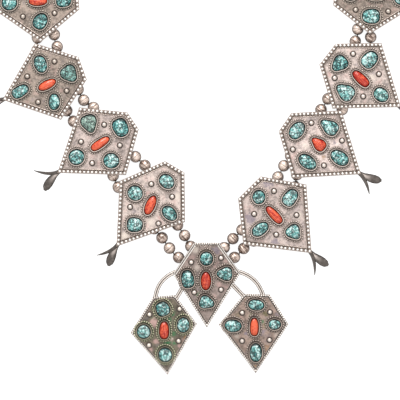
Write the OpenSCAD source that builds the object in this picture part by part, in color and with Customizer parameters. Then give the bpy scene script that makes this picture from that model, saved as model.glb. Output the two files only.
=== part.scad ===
// Squash blossom necklace, laid flat in the shape that it has on a table.
// +Y is the photograph's up, +Z is up from the table, and the beads rest on Z = 0.

/* [Beads and strands] */
// Diameter of one round silver bead
bead_d = 7.2; // [6.4:0.1:7.2]
// Least gap between neighbouring beads
bead_gap = 0.12; // [0.1:0.01:0.3]
// Bore drilled through a bead
bead_bore = 2; // [1.6:0.1:2.6]
// Diameter of the thread that the beads are strung on
thread_d = 0.8; // [0.6:0.1:1.2]
// Height of the plates over the tops of the beads
plate_lift = 0.3; // [0.2:0.1:1]

/* [Side medallions] */
// Length from the wings to the acute tip
side_tip = 30.5; // [28:0.5:34]
// Length from the wings to the blunt edge
side_head = 21.6; // [20:0.2:24]
// Half of the width across the wings
side_wing = 23.2; // [21:0.2:25]
// Half of the width of the blunt edge
side_blunt = 7; // [5:0.2:9]
// Thickness of the silver sheet of every plate
sheet_t = 1.2; // [0.8:0.1:2]

/* [Centre drop] */
// Length from the wings to the acute tip
drop_tip = 29.5; // [27:0.5:32]
// Length from the wings to the blunt edge
drop_head = 18; // [17:0.2:20]
// Half of the width across the wings
drop_wing = 20; // [19:0.2:21]
// Half of the width of the blunt edge
drop_blunt = 6.8; // [5:0.2:8]
// Diameter of each of the paired wires that hold the two pendants
frame_wire_d = 1.4; // [1:0.1:1.8]
// Gap left under the tips of the two pendants
drop_gap = 0.2; // [0.1:0.1:1]

/* [Stones] */
// Usual length of a turquoise
turquoise_l = 9; // [8:0.1:10]
// Usual length of a coral
coral_l = 12; // [10:0.5:13]
// Height of a turquoise from its flat back to its crown
turquoise_h = 3.2; // [2.6:0.1:4]
// Height of a coral from its flat back to its crown
coral_h = 3; // [2.6:0.1:4]
// Height of a stone's straight edge below its dome
girdle_h = 1.7; // [1:0.1:2]
// Gap between a stone and the metal round and under it
stone_gap = 0.14; // [0.12:0.01:0.3]
// Height of a bezel over the sheet
bezel_h = 2.1; // [1.5:0.1:2.4]
// Thickness of a bezel's wall
bezel_t = 0.7; // [0.4:0.1:1]
// Width of the wire that runs round a bezel
collar_w = 1.4; // [0.8:0.1:1.6]
// Height over the sheet of the wire that runs round a bezel
collar_h = 0.8; // [0.4:0.1:1.2]

/* [Borders and balls] */
// Diameter of a ball in the border of a side medallion
border_d = 1.8; // [1.4:0.1:2.2]
// Distance between the balls of that border
border_pitch = 2.45; // [2.3:0.05:3]
// Width of the plain wire round the plates of the centre drop
edge_wire_w = 1; // [0.6:0.1:1.5]
// Height of that wire over the sheet
edge_wire_h = 0.7; // [0.4:0.1:1.2]
// Width and height of the thin wire inside every border
line_w = 0.45; // [0.3:0.05:0.8]
// Distance from the border to that thin wire
line_gap = 0.6; // [0.3:0.1:1.2]
// Diameter of a half ball on a plate
ball_d = 3.1; // [2.4:0.1:3.6]

/* [Petals] */
// Length of the broad petal beyond the tip of a medallion
leaf_l = 12.4; // [10:0.2:15]
// How far the broad petal bends to one side
leaf_bow = 3.2; // [1.6:0.1:4]
// Greatest width of the broad petal
leaf_w = 5.2; // [3.5:0.1:6.5]
// Length of the narrow petal beyond the tip of a medallion
blade_l = 11; // [9:0.2:14]
// How far the narrow petal bends to the other side
blade_bow = 7.7; // [6:0.1:9]
// Thickness of the narrow petal
blade_w = 1.2; // [0.8:0.1:1.8]
// Height of the narrow petal
blade_h = 3.4; // [2:0.1:4]
// Thickness of the broad petal
leaf_t = 0.9; // [0.7:0.1:1.4]
// Radius on which both petals bend down
petal_bend = 34; // [26:1:50]
// Least height of the petals over the table
petal_gap = 0.6; // [0.3:0.1:2]
// How far inside the tip of a medallion its petals begin
petal_root = 3; // [2:0.5:4]

/* [Shanks] */
// Length of a shank along its strand
shank_w = 1.6; // [1.2:0.1:1.6]
// Length of the two shanks of the centre drop
drop_shank_w = 11; // [8:0.5:11.5]
// Bore of every shank
shank_bore = 2.4; // [1.8:0.1:3.2]
// Gap left under every shank
shank_foot = 0.1; // [0.05:0.05:0.5]

/* [Clasp] */
// Diameter of the wire of the hook
hook_d = 1.6; // [1.2:0.1:1.8]
// Diameter of the wire of the eye
eye_wire = 1.4; // [1:0.1:1.6]
// Diameter of the eye, at the middle of its wire
eye_d = 8; // [7:0.5:12]
// Free gap between the hook and the eye
hook_gap = 0.3; // [0.2:0.1:0.6]
// Thickness of the bar that ends the two strands
bar_t = 3; // [2.4:0.2:4]
// Height of that bar
bar_h = 5.6; // [5.4:0.1:6.8]
// Distance between the two strands at the clasp
bar_gap = 9.5; // [9:0.5:12]
// Distance from the middle of the back to the strands' bars
clasp_half = 6.6; // [6:0.2:8]
// Radius of the way round the back of the neck
back_r = 81.4; // [75:0.1:90]

/* [Hidden] */

// Where each plate lies: [name, x, y, turn of the tip-to-blunt axis, and its own tip, wing, head
// and blunt lengths as shares of the named ones].
PLATES = [
    ["left_1", -31.6, -65.2, 56, 1.07, 0.94, 1.1, 0.87],
    ["left_2", -61.6, -29, 34, 1.04, 1, 0.98, 0.8],
    ["left_3", -94.2, 7, 20, 0.95, 1, 1, 1],
    ["left_4", -100.3, 54.8, 3.5, 1, 1, 1, 1],
    ["right_1", 41.1, -73.2, 133, 0.99, 1.07, 1, 1.3],
    ["right_2", 66.7, -31.1, 145, 0.98, 1.02, 1.03, 0.9],
    ["right_3", 91.1, 10.7, 144, 0.98, 0.98, 0.95, 1.03],
    ["right_4", 100.2, 58.1, 176, 1, 0.93, 1, 1],
    ["centre", 0.7, -108.3, 90, 1.08, 0.98, 0.98, 1.05],
    ["pendant_left", -25.1, -141.4, 94, 0.92, 0.99, 1.04, 0.9],
    ["pendant_right", 28.9, -139.1, 90, 0.98, 1.04, 0.99, 1.08]
];

// How far the corners of each plate stand off its even shape, in X and Y on the table: [name, tip,
// wing, head, head, wing].
SKEWS = [
    ["left_1", [-3.6, -0.1], [1.3, -0.2], [0.7, 1], [-0.9, 1.1], [-1.9, 0]],
    ["left_2", [-1, -1.4], [0.9, -1.2], [0.9, -0.2], [0.4, 0.7], [-1.2, 0.9]],
    ["left_3", [-0.4, -1.4], [-0.4, -1.5], [0.3, 0], [0.2, 0.5], [-0.2, 0.8]],
    ["left_4", [0, -0.5], [0, -1.3], [2.7, 0.8], [2.6, -0.6], [0, 0.8]],
    ["right_1", [2, -1], [1.3, 1.1], [0.1, 1], [-0.2, 0], [-0.2, -1.1]],
    ["right_2", [2.2, -0.7], [1.3, 1], [-0.6, 1], [-1, 0.2], [-1, -0.8]],
    ["right_3", [2, -1.8], [1.1, 0.7], [-0.7, 0.8], [-2, -0.2], [-1.5, -1.9]],
    ["right_4", [0, -0.8], [0, 0.8], [-1.6, 0.3], [-1.6, -0.3], [-0.1, -1.4]],
    ["centre", [0.1, -1], [0.7, 0.2], [0.3, 0.8], [-0.5, 0.8], [-0.6, -0.5]],
    ["pendant_left", [0.4, -1.3], [0.2, 1.1], [2, 0.7], [1, 0.5], [-0.2, -1.6]],
    ["pendant_right", [1.3, -0.8], [0.2, 0], [2.3, 0.1], [1.8, 0.5], [-0.1, -0.3]]
];

// How far the petals of each medallion bend aside, as shares of the named bows: [name, broad, narrow].
PETAL_BOWS = [
    ["left_1", 0.8, 0.9], ["left_2", 1.4, 1.2], ["left_3", 1, 1], ["left_4", 1, 1],
    ["right_1", 0.75, 1], ["right_2", 1.25, 0.9], ["right_3", 1, 1], ["right_4", 1, 1]
];

// Where the seats lie on a plate, as shares of its head, wing and tip lengths: [along, across].
SIDE_SEATS = [[0.62, 0], [-0.035, 0.53], [-0.035, -0.53], [-0.57, 0], [-0.06, 0]];
DROP_SEATS = [[0.62, 0], [-0.035, 0.6], [-0.035, -0.6], [-0.58, 0], [-0.06, 0]];

// The half balls of each plate: [name, and for each ball its place along and across, as shares of the
// plate's head or tip length and of its wing length].
BALLS = [
    ["left_1", [0.37, -0.37], [0.34, 0.3], [-0.28, -0.47], [-0.32, 0.43]],
    ["left_2", [0.33, -0.34], [0.29, 0.33], [-0.35, 0.3], [-0.4, -0.32]],
    ["left_3", [0.38, -0.4], [0.34, 0.42], [-0.35, -0.42], [-0.38, 0.3]],
    ["left_4", [0.43, -0.33], [0.43, 0.36], [-0.32, -0.37], [-0.32, 0.38]],
    ["right_1", [0.48, -0.39], [0.39, 0.34], [-0.31, -0.39], [-0.32, 0.29]],
    ["right_2", [0.45, -0.37], [0.45, 0.45], [-0.36, 0.33], [-0.37, -0.45]],
    ["right_3", [0.48, 0.42], [0.46, -0.38], [-0.34, -0.35], [-0.35, 0.37]],
    ["right_4", [0.44, 0.42], [0.44, -0.38], [-0.33, 0.4], [-0.33, -0.39]],
    ["centre", [0.53, -0.44], [0.38, 0.47], [-0.31, -0.44], [-0.36, 0.38]],
    ["pendant_left", [0.58, -0.52], [0.47, 0.4], [-0.31, -0.42], [-0.36, 0.48]],
    ["pendant_right", [0.41, -0.47], [0.39, 0.33], [-0.33, -0.46], [-0.35, 0.33]]
];

// How each stone is cut: [name, power of its oval, point at one end, three-cornered share].
CUTS = [
    ["round", 2, 0, 0.01],
    ["oval", 2.1, 0.03, 0],
    ["pear", 2, 0.4, 0.02],
    ["corner", 2, 0.1, 0.09],
    ["cushion", 2.6, 0.02, 0.02],
    ["bean", 2.2, -0.15, 0.07]
];

// The five stones of each plate, the coral last: [shift along, shift across, length, width,
// turn from the plate's axis, cut]. All but the turn and the cut are shares of the named lengths.
STONES = [
    ["left_1", [
        [-0.02, -0.03, 1.06, 0.88, -96, "oval"],
        [-0.08, 0, 1.03, 0.97, -100, "round"],
        [0.09, -0.09, 1.12, 0.8, -100, "oval"],
        [0.1, 0.13, 1.04, 0.95, -60, "cushion"],
        [-0.08, -0.01, 1.02, 0.47, 10, "oval"]]],
    ["left_2", [
        [0.02, 0.08, 1.22, 0.98, -100, "cushion"],
        [0.02, 0.09, 1.2, 1, -107, "pear"],
        [-0.14, -0.04, 1.05, 1, -50, "round"],
        [-0.04, 0.09, 1.05, 1.02, 0, "round"],
        [-0.03, -0.05, 1.06, 0.4, 0, "cushion"]]],
    ["left_3", [
        [-0.02, -0.01, 1.14, 1.04, -70, "corner"],
        [0, -0.13, 1.16, 0.82, -92, "oval"],
        [0, -0.07, 1.08, 0.74, 70, "oval"],
        [-0.17, -0.01, 1.18, 0.72, 10, "cushion"],
        [0.03, -0.21, 0.95, 0.43, 7, "oval"]]],
    ["left_4", [
        [0.2, 0, 1, 0.96, 0, "cushion"],
        [0, 0, 1, 0.96, 40, "round"],
        [0.16, 0, 1.1, 0.9, 55, "bean"],
        [0, 0, 1, 0.96, 0, "round"],
        [0.18, 0, 0.92, 0.45, -3, "oval"]]],
    ["right_1", [
        [0.06, -0.06, 0.92, 0.84, -40, "round"],
        [0.03, -0.13, 1.22, 0.76, -97, "oval"],
        [0.21, -0.1, 1.2, 0.86, -78, "cushion"],
        [0.15, -0.16, 1, 0.92, 177, "pear"],
        [0.18, 0.01, 1.08, 0.42, 0, "cushion"]]],
    ["right_2", [
        [0.08, -0.01, 1.26, 0.9, -94, "oval"],
        [-0.04, -0.09, 1.3, 0.84, 180, "oval"],
        [0.12, -0.05, 1.3, 0.88, 0, "pear"],
        [0.14, -0.15, 1.3, 0.88, 0, "oval"],
        [0.13, -0.1, 0.8, 0.54, -6, "pear"]]],
    ["right_3", [
        [-0.02, 0.08, 1.12, 0.96, 80, "corner"],
        [0.12, 0.06, 1.3, 1, 0, "pear"],
        [0.05, 0.05, 1.18, 0.94, -97, "cushion"],
        [-0.17, 0.15, 1.06, 0.88, 176, "oval"],
        [-0.14, 0.08, 1.02, 0.46, -8, "cushion"]]],
    ["right_4", [
        [0, 0, 0.92, 0.84, 0, "round"],
        [0.12, 0.1, 1.16, 0.96, 4, "cushion"],
        [0, 0, 1, 0.96, 20, "round"],
        [0, 0, 0.98, 0.94, 0, "round"],
        [0, 0, 0.92, 0.42, 2, "oval"]]],
    ["centre", [
        [-0.2, 0.02, 0.92, 0.86, 0, "round"],
        [-0.24, -0.04, 1.18, 0.82, 8, "cushion"],
        [0.12, 0.08, 1.02, 0.88, 90, "corner"],
        [0.13, 0.02, 1, 0.84, -108, "corner"],
        [-0.27, 0.05, 0.92, 0.5, 0, "oval"]]],
    ["pendant_left", [
        [0.02, -0.03, 0.96, 0.92, 20, "cushion"],
        [-0.02, 0.02, 0.94, 0.9, 0, "round"],
        [0.25, 0, 1.02, 0.82, -6, "oval"],
        [-0.03, 0.02, 0.98, 0.92, 10, "round"],
        [0.04, -0.02, 0.88, 0.47, -4, "cushion"]]],
    ["pendant_right", [
        [0.1, -0.17, 1.06, 0.72, -98, "oval"],
        [0.03, -0.02, 1.12, 0.82, -96, "oval"],
        [0.12, -0.02, 0.82, 0.68, -92, "round"],
        [-0.02, -0.15, 1.24, 0.8, 0, "oval"],
        [0.03, -0.05, 0.9, 0.42, 0, "cushion"]]]
];

// The way of each strand from the centre drop outwards, as it lies on the table. A row with a
// name is where the strand passes the shank of that plate, and each other row is a bead that the
// photograph shows. The last row is where the way round the back of the neck begins.
ROUTES = [
    ["inner_left", [
        [0.8, -93.7, "centre"], [-8.8, -92.3], [-12.5, -85.7], [-16.8, -79.4],
        [-26.6, -61.5, "left_1"], [-36.4, -43.6], [-42.1, -38.4],
        [-54.7, -23.6, "left_2"], [-67.3, -8.8], [-73.2, -4.4],
        [-82.2, 12.9, "left_3"], [-89.1, 27.7], [-90.9, 35],
        [-92.3, 55, "left_4"], [-93, 75]]],
    ["inner_right", [
        [0.8, -93.7, "centre"], [11.2, -93], [16.5, -87.6], [21.9, -82.3],
        [32.7, -66.4, "right_1"], [43.5, -50.6], [47.1, -43.8],
        [58.3, -27, "right_2"], [69.4, -10.1], [73.5, -3.6],
        [81.8, 13.7, "right_3"], [90, 31], [91.5, 38.3],
        [92.6, 57.6, "right_4"], [93, 75]]],
    ["outer_left", [
        [0.8, -103, "centre"], [-9, -102], [-16.1, -98.9], [-21.6, -93.3], [-26.1, -87.1],
        [-39.4, -71.8, "left_1"], [-52.4, -56.7], [-55.5, -49.7],
        [-67.5, -33.4, "left_2"], [-79.3, -17.1], [-83.4, -10.7],
        [-93, 7.4, "left_3"], [-101.2, 25.6], [-101, 33.1],
        [-102.2, 54, "left_4"], [-102.5, 75]]],
    ["outer_right", [
        [0.8, -103, "centre"], [10.4, -102], [17.4, -98.9], [23, -93.5], [29.1, -89],
        [41.6, -72.8, "right_1"], [53.8, -56.6], [54.9, -49.1],
        [67.6, -33.2, "right_2"], [80.1, -17.3], [82.2, -10],
        [91.2, 8, "right_3"], [98.9, 26], [99.3, 33.5],
        [101.6, 54, "right_4"], [102.5, 75]]]
];

// The paired wires of the centre drop: [from, to, how far the middle bows out], on the table.
FRAME_WIRES = [
    [[-17.6, -107.4], [-30.2, -124], -3.3],
    [[19, -107.2], [34.6, -121.8], 3.1],
    [[-12.9, -115.6], [-18.3, -124.8], 0],
    [[15.4, -114.4], [24, -123.4], 0]
];

OUTLINE_STEPS = 24;
BACK_STEPS = 16;
THREAD_SIDES = 5;
SINK = 0.3;
RIM_SHARE = 0.7;
PAIR_SHARE = 0.9;
SILVER = [0.7, 0.64, 0.59];
BEAD_SILVER = [0.74, 0.67, 0.61];
TURQUOISE = [0.42, 0.72, 0.7];
CORAL = [0.9, 0.3, 0.2];
THREAD = [0.3, 0.27, 0.24];
$fn = 32;

bead_r = bead_d / 2;
strand_z = bead_r;
plate_z = bead_d + plate_lift;
bead_pitch = bead_d + bead_gap;
border_r = border_d / 2;
shank_r = bead_r - shank_foot;
hinge_y = named(ROUTES, "outer_left")[1][0][1] - bead_r;
drop_reach = hinge_y - min([for (name = ["pendant_left", "pendant_right"])
    plate_row(name)[2] + turned(corners(name)[0], plate_row(name)[3])[1]]);
drop_tilt = asin((plate_z - drop_gap) / drop_reach);
hook_r = eye_wire / 2 + hook_gap + hook_d / 2;
eye_x = clasp_half - eye_d / 2 + eye_wire / 2;
hook_x = eye_x - eye_d / 2;
strand_half = clasp_half + bar_t;

function named(table, name) = [for (row = table) if (row[0] == name) row][0];
function plate_row(name) = named(PLATES, name);
function is_side(name) = name != "centre" && len(name) < 8;
function tip_of(name) = (is_side(name) ? side_tip : drop_tip) * plate_row(name)[4];
function wing_of(name) = (is_side(name) ? side_wing : drop_wing) * plate_row(name)[5];
function head_of(name) = (is_side(name) ? side_head : drop_head) * plate_row(name)[6];
function blunt_of(name) = (is_side(name) ? side_blunt : drop_blunt) * plate_row(name)[7];

function unit(v) = v / norm(v);
function left_of(v) = [-v[1], v[0]];
function turned(v, a) = v[0] * [cos(a), sin(a)] + v[1] * [-sin(a), cos(a)];

// The five corners of a plate about its own centre, the tip first: of an even plate, and as they are.
function even_corners(name) = [
    [-tip_of(name), 0], [0, -wing_of(name)], [head_of(name), -blunt_of(name)],
    [head_of(name), blunt_of(name)], [0, wing_of(name)]
];
function corners(name) = [
    for (i = [0:4]) even_corners(name)[i] + turned(named(SKEWS, name)[i + 1], -plate_row(name)[3])
];

// The same outline with every edge moved inwards by a distance.
function inset(points, by) = [
    for (i = [0:len(points) - 1])
        let (n = len(points),
             a = left_of(unit(points[i] - points[(i + n - 1) % n])),
             b = left_of(unit(points[(i + 1) % n] - points[i])))
        points[i] + by * (a + b) / (1 + a * b)
];

// Where a stone of a plate sits, and its lengths: [x, y, length, width, turn, cut].
function seat(name, index) =
    let (share = (is_side(name) ? SIDE_SEATS : DROP_SEATS)[index],
         row = named(STONES, name)[1][index],
         along = share[0] > 0 ? head_of(name) : tip_of(name),
         usual = index == 4 ? coral_l : turquoise_l)
    [share[0] * along + row[0] * turquoise_l, share[1] * wing_of(name) + row[1] * turquoise_l,
     row[2] * usual, row[3] * usual, row[4], row[5]];

// The outline of a stone, widened all round by a distance.
function stone_outline(stone, by) =
    let (cut = named(CUTS, stone[5]))
    [for (i = [0:OUTLINE_STEPS - 1])
        let (a = i * 360 / OUTLINE_STEPS,
             oval = pow(pow(abs(cos(a)), cut[1]) + pow(abs(sin(a)), cut[1]), -1 / cut[1]),
             lump = 1 - cut[2] * cos(a) * (1 - cos(2 * a)) / 2 + cut[3] * cos(3 * a))
        [(stone[2] / 2 * oval * lump + by) * cos(a), (stone[3] / 2 * oval * lump + by) * sin(a)]];

// The way of a strand along its route, and the plain quarter turn behind the neck.
function route(strand) = named(ROUTES, strand)[1];
function is_stop(strand, i) = len(route(strand)[i]) > 2;
function stops(strand) = [for (i = [0:len(route(strand)) - 1]) if (is_stop(strand, i)) i];
function flat(row) = [row[0], row[1]];
function heading_of(step) = atan2(step[1], step[0]);
function side_sign(strand) = route(strand)[len(route(strand)) - 1][0] > 0 ? 1 : -1;
function is_outer(strand) = strand == "outer_left" || strand == "outer_right";
function back_end_y(strand) =
    flat(route("inner_left")[len(route("inner_left")) - 1])[1] + back_r + (is_outer(strand) ? bar_gap : 0);
function back_way(strand) =
    let (start = route(strand)[len(route(strand)) - 1],
         out = abs(start[0]) - strand_half,
         up = back_end_y(strand) - start[1])
    [for (i = [0:BACK_STEPS])
        let (a = 90 * i / BACK_STEPS)
        [side_sign(strand) * (strand_half + out * cos(a)), start[1] + up * sin(a)]];

function way_length(points, i = 0) =
    i >= len(points) - 1 ? 0 : norm(points[i + 1] - points[i]) + way_length(points, i + 1);

// The place and heading at a distance along a way: [x, y, heading].
function place_at(points, s, i = 0) =
    let (step = points[i + 1] - points[i], d = norm(step))
    (s <= d || i == len(points) - 2)
        ? [points[i][0] + step[0] * s / d, points[i][1] + step[1] * s / d, heading_of(step)]
        : place_at(points, s - d, i + 1);

// What is strung on a thread is a row of [x, y, heading, half length, whether it is a bead].
function strung_bead(place) = [place[0], place[1], place[2], bead_r - bead_gap, true];
function stop_width(strand, i) = route(strand)[i][2] == "centre" ? drop_shank_w : shank_w;
function item_heading(strand, i) =
    i == 0 ? (side_sign(strand) > 0 ? 0 : 180)
           : heading_of(flat(route(strand)[i + 1]) - flat(route(strand)[i - 1]));
function strung_item(strand, i) =
    let (row = route(strand)[i], heading = item_heading(strand, i))
    is_stop(strand, i) ? [row[0], row[1], heading, stop_width(strand, i) / 2, false]
                       : strung_bead([row[0], row[1], heading]);
function taken(strand, i) = (is_stop(strand, i) ? stop_width(strand, i) : bead_pitch) / 2;

// The beads between two rows of a route, under a plate: packed against the bead that shows, with
// the play left at the shank.
function hidden_beads(strand, i) =
    let (points = [flat(route(strand)[i]), flat(route(strand)[i + 1])],
         free = way_length(points) - taken(strand, i) - taken(strand, i + 1),
         n = floor(free / bead_pitch),
         play = is_stop(strand, i) ? free - n * bead_pitch : 0)
    [for (k = [0:1:n - 1]) strung_bead(place_at(points, taken(strand, i) + play + (k + 0.5) * bead_pitch))];

// The beads from the last shank round the back, spread evenly.
function back_beads(strand, i) =
    let (points = concat([flat(route(strand)[i])], back_way(strand)),
         free = way_length(points) - taken(strand, i) - bead_gap,
         n = floor(free / bead_pitch))
    [for (k = [0:n - 1]) strung_bead(place_at(points, taken(strand, i) + (k + 0.5) * free / n))];

// All that is strung on half a strand, from the centre outwards.
function strung(strand) = [
    for (i = [0:len(route(strand)) - 2])
        each concat([strung_item(strand, i)],
            i == len(route(strand)) - 2 ? back_beads(strand, i) : hidden_beads(strand, i))
];
function strand_beads(strand) = [for (item = strung(strand)) if (item[4]) item];
function thread_end(strand) = [side_sign(strand) * clasp_half, back_end_y(strand), strand_z];
function thread_half(strand) = concat(
    [for (item = strung(strand), way_on = [-1, 1])
        [item[0] + way_on * item[3] * cos(item[2]), item[1] + way_on * item[3] * sin(item[2]), strand_z]],
    [thread_end(strand) + [side_sign(strand) * bar_t, 0, 0], thread_end(strand)]);
function reversed(list) = [for (i = [len(list) - 1:-1:0]) list[i]];
function after_first(list) = [for (i = [1:len(list) - 1]) list[i]];

// A round tube along a way of level points, as one closed solid.
module tube(points, d) {
    n = len(points);
    rings = [
        for (i = [0:n - 1])
            let (back = unit(points[i] - points[max(i - 1, 0)]
                     + (i == 0 ? points[1] - points[0] : [0, 0, 0])),
                 ahead = unit(points[min(i + 1, n - 1)] - points[i]
                     + (i == n - 1 ? points[i] - points[i - 1] : [0, 0, 0])),
                 side = left_of(unit(back + ahead)))
            for (k = [0:THREAD_SIDES - 1])
                let (a = (k + 0.5) * 360 / THREAD_SIDES)
                points[i] + d / 2 * [side[0] * cos(a), side[1] * cos(a), sin(a)]
    ];
    walls = [
        for (i = [0:n - 2], k = [0:THREAD_SIDES - 1])
            let (a = i * THREAD_SIDES + k, b = i * THREAD_SIDES + (k + 1) % THREAD_SIDES)
            [a, b, b + THREAD_SIDES, a + THREAD_SIDES]
    ];
    first_cap = [for (k = [THREAD_SIDES - 1:-1:0]) k];
    last_cap = [for (k = [0:THREAD_SIDES - 1]) (n - 1) * THREAD_SIDES + k];
    polyhedron(rings, concat(walls, [first_cap, last_cap]));
}

module on_table(name) {
    row = plate_row(name);
    translate([row[1], row[2], plate_z]) rotate([0, 0, row[3]]) children();
}

// The centre drop leans on the table with the tips of its pendants.
module leaning() {
    translate([0, hinge_y, plate_z]) rotate([drop_tilt, 0, 0])
        translate([0, -hinge_y, -plate_z]) children();
}

module at_seat(name, index) {
    stone = seat(name, index);
    translate([stone[0], stone[1], 0]) rotate([0, 0, stone[4]]) children();
}

// One cabochon: a straight edge under a dome that is part of one sphere.
module cabochon(name, index) {
    stone = seat(name, index);
    tall = index == 4 ? coral_h : turquoise_h;
    reach = stone[2] / 2 * 1.12;
    rise = tall - girdle_h;
    dome_r = (reach * reach + rise * rise) / (2 * rise);
    at_seat(name, index) translate([0, 0, sheet_t + stone_gap]) intersection() {
        linear_extrude(tall) polygon(stone_outline(stone, 0));
        translate([0, 0, tall - dome_r]) sphere(dome_r, $fn = 96);
    }
}

module turquoises(name) {
    for (index = [0:3]) cabochon(name, index);
}

module half_ball() {
    intersection() {
        sphere(d = ball_d);
        translate([-ball_d, -ball_d, -SINK]) cube([2 * ball_d, 2 * ball_d, ball_d]);
    }
}

module four_balls(name) {
    row = named(BALLS, name);
    for (i = [1:4]) {
        reach = row[i][0] > 0 ? head_of(name) : tip_of(name);
        translate([row[i][0] * reach, row[i][1] * wing_of(name), sheet_t]) half_ball();
    }
}

// A raised wire that follows the plate's outline, from one distance inside it to another.
module outline_wire(points, from, to, h) {
    translate([0, 0, sheet_t - SINK]) linear_extrude(h + SINK) difference() {
        polygon(inset(points, from));
        polygon(inset(points, to));
    }
}

module border_balls(points) {
    middle = inset(points, border_r);
    for (i = [0:len(middle) - 1]) {
        a = middle[i];
        b = middle[(i + 1) % len(middle)];
        n = round(norm(b - a) / border_pitch);
        for (k = [0:n - 1]) {
            place = a + (b - a) * k / n;
            translate([place[0], place[1], sheet_t - border_r / 4]) sphere(border_r);
        }
    }
}

// The sheet with the cups of its five stones, its half balls and the wires of its border.
module plate(name) {
    points = corners(name);
    rim = is_side(name) ? RIM_SHARE * border_r : 0;
    border = is_side(name) ? border_d : edge_wire_w;
    difference() {
        union() {
            linear_extrude(sheet_t) polygon(inset(points, rim));
            outline_wire(points, border + line_gap, border + line_gap + line_w, line_w);
            if (!is_side(name)) outline_wire(points, 0, edge_wire_w, edge_wire_h);
            for (index = [0:4]) at_seat(name, index) {
                stone = seat(name, index);
                translate([0, 0, sheet_t - SINK]) {
                    linear_extrude(bezel_h + SINK) polygon(stone_outline(stone, stone_gap + bezel_t));
                    linear_extrude(collar_h + SINK)
                        polygon(stone_outline(stone, stone_gap + bezel_t + collar_w));
                }
            }
            four_balls(name);
        }
        for (index = [0:4]) at_seat(name, index)
            translate([0, 0, sheet_t]) linear_extrude(2 * bezel_h)
                polygon(stone_outline(seat(name, index), stone_gap));
    }
}

// The outline of a petal from above: its middle line bends aside as a parabola.
function petal_outline(l, bow, widths) =
    let (n = len(widths) - 1,
         line = [for (i = [0:n]) let (t = i / n) [l * t, bow * t * t]],
         edge = [for (i = [0:n]) let (t = i / n) left_of(unit([l, 2 * bow * t])) * widths[i] / 2])
    concat([for (i = [0:n]) line[i] - edge[i]], [for (i = [n:-1:0]) line[i] + edge[i]]);

// A wall that bends down on a radius, cut to a petal's outline.
module petal(outline, h) {
    intersection() {
        translate([0, 0, petal_gap - plate_z]) linear_extrude(plate_z + sheet_t) polygon(outline);
        translate([0, 0, sheet_t - petal_bend - SINK / 2]) rotate([90, 0, 0]) difference() {
            cylinder(r = petal_bend, h = 6 * leaf_w, center = true, $fn = 96);
            cylinder(r = petal_bend - h, h = 7 * leaf_w, center = true, $fn = 96);
        }
    }
}

// The two petals of a squash blossom, out from the plate's tip.
module petals(name) {
    root = corners(name)[0] + [petal_root, 0];
    bows = named(PETAL_BOWS, name);
    leaf = leaf_w * [0.5, 0.46, 0.56, 0.76, 0.94, 1, 0.86, 0.36];
    blade = blade_w * [1.6, 1.3, 1.1, 1, 1, 0.9, 0.7, 0.3];
    translate([root[0], root[1], 0]) rotate([0, 0, 180]) {
        petal(petal_outline(leaf_l + petal_root, leaf_bow * bows[1], leaf), leaf_t);
        petal(petal_outline(blade_l + petal_root, -blade_bow * bows[2], blade), blade_h);
    }
}

// A loop soldered under a plate, bored along its strand.
module shank(strand, i, top) {
    place = route(strand)[i];
    translate([place[0], place[1], strand_z]) rotate([0, 0, item_heading(strand, i)]) difference() {
        union() {
            rotate([0, 90, 0]) cylinder(r = shank_r, h = stop_width(strand, i), center = true);
            translate([-stop_width(strand, i) / 2, -shank_r / 2, 0])
                cube([stop_width(strand, i), shank_r, top - strand_z]);
        }
        rotate([0, 90, 0]) cylinder(d = shank_bore, h = 2 * stop_width(strand, i), center = true);
    }
}

module side_shanks(name) {
    for (row = ROUTES) {
        for (i = stops(row[0])) if (route(row[0])[i][2] == name) shank(row[0], i, plate_z + sheet_t / 2);
    }
}

module medallion(name) {
    color(SILVER) union() {
        on_table(name) {
            plate(name);
            border_balls(corners(name));
            petals(name);
        }
        side_shanks(name);
    }
}

// Two round wires soldered side by side, straight or bowed to one side.
module paired_wire(row) {
    chord = row[1] - row[0];
    l = norm(chord);
    heading = atan2(chord[1], chord[0]);
    wire_z = plate_z + sheet_t - SINK / 3 - frame_wire_d / 2;
    for (aside = PAIR_SHARE * frame_wire_d * [-0.5, 0.5]) {
        translate([row[0][0], row[0][1], wire_z]) rotate([0, 0, heading]) {
            if (row[2] == 0) translate([0, aside, 0]) rotate([0, 90, 0]) cylinder(d = frame_wire_d, h = l);
            else bowed_wire(l, row[2], aside);
        }
    }
}

module bowed_wire(l, bow, aside) {
    r = (l * l / 4 + bow * bow) / (2 * abs(bow));
    half = asin(l / 2 / r);
    up = bow > 0 ? -1 : 1;
    translate([l / 2, up * (r - abs(bow)), 0]) rotate([0, 0, -up * 90 - half])
        rotate_extrude(angle = 2 * half, $fn = 96) translate([r - up * aside, 0]) circle(d = frame_wire_d);
}

module centre_drop() {
    color(SILVER) union() {
        leaning() {
            for (name = ["centre", "pendant_left", "pendant_right"]) on_table(name) plate(name);
            for (row = FRAME_WIRES) paired_wire(row);
        }
        for (strand = ["inner_left", "outer_left"])
            shank(strand, 0, plate_z + (route(strand)[0][1] - hinge_y) * sin(drop_tilt) + sheet_t / 2);
    }
}

// A round bead turned about its bore.
module bead(place) {
    translate([place[0], place[1], strand_z]) rotate([0, 0, place[2]]) rotate([0, 90, 0]) rotate_extrude()
        intersection() {
            circle(bead_r);
            translate([bead_bore / 2, -bead_r]) square([bead_r, bead_d]);
        }
}

module beads(strand) {
    color(BEAD_SILVER) for (place = strand_beads(strand)) bead(place);
}

module thread(left, right) {
    color(THREAD)
        tube(concat(reversed(after_first(thread_half(left))), after_first(thread_half(right))), thread_d);
}

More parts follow.
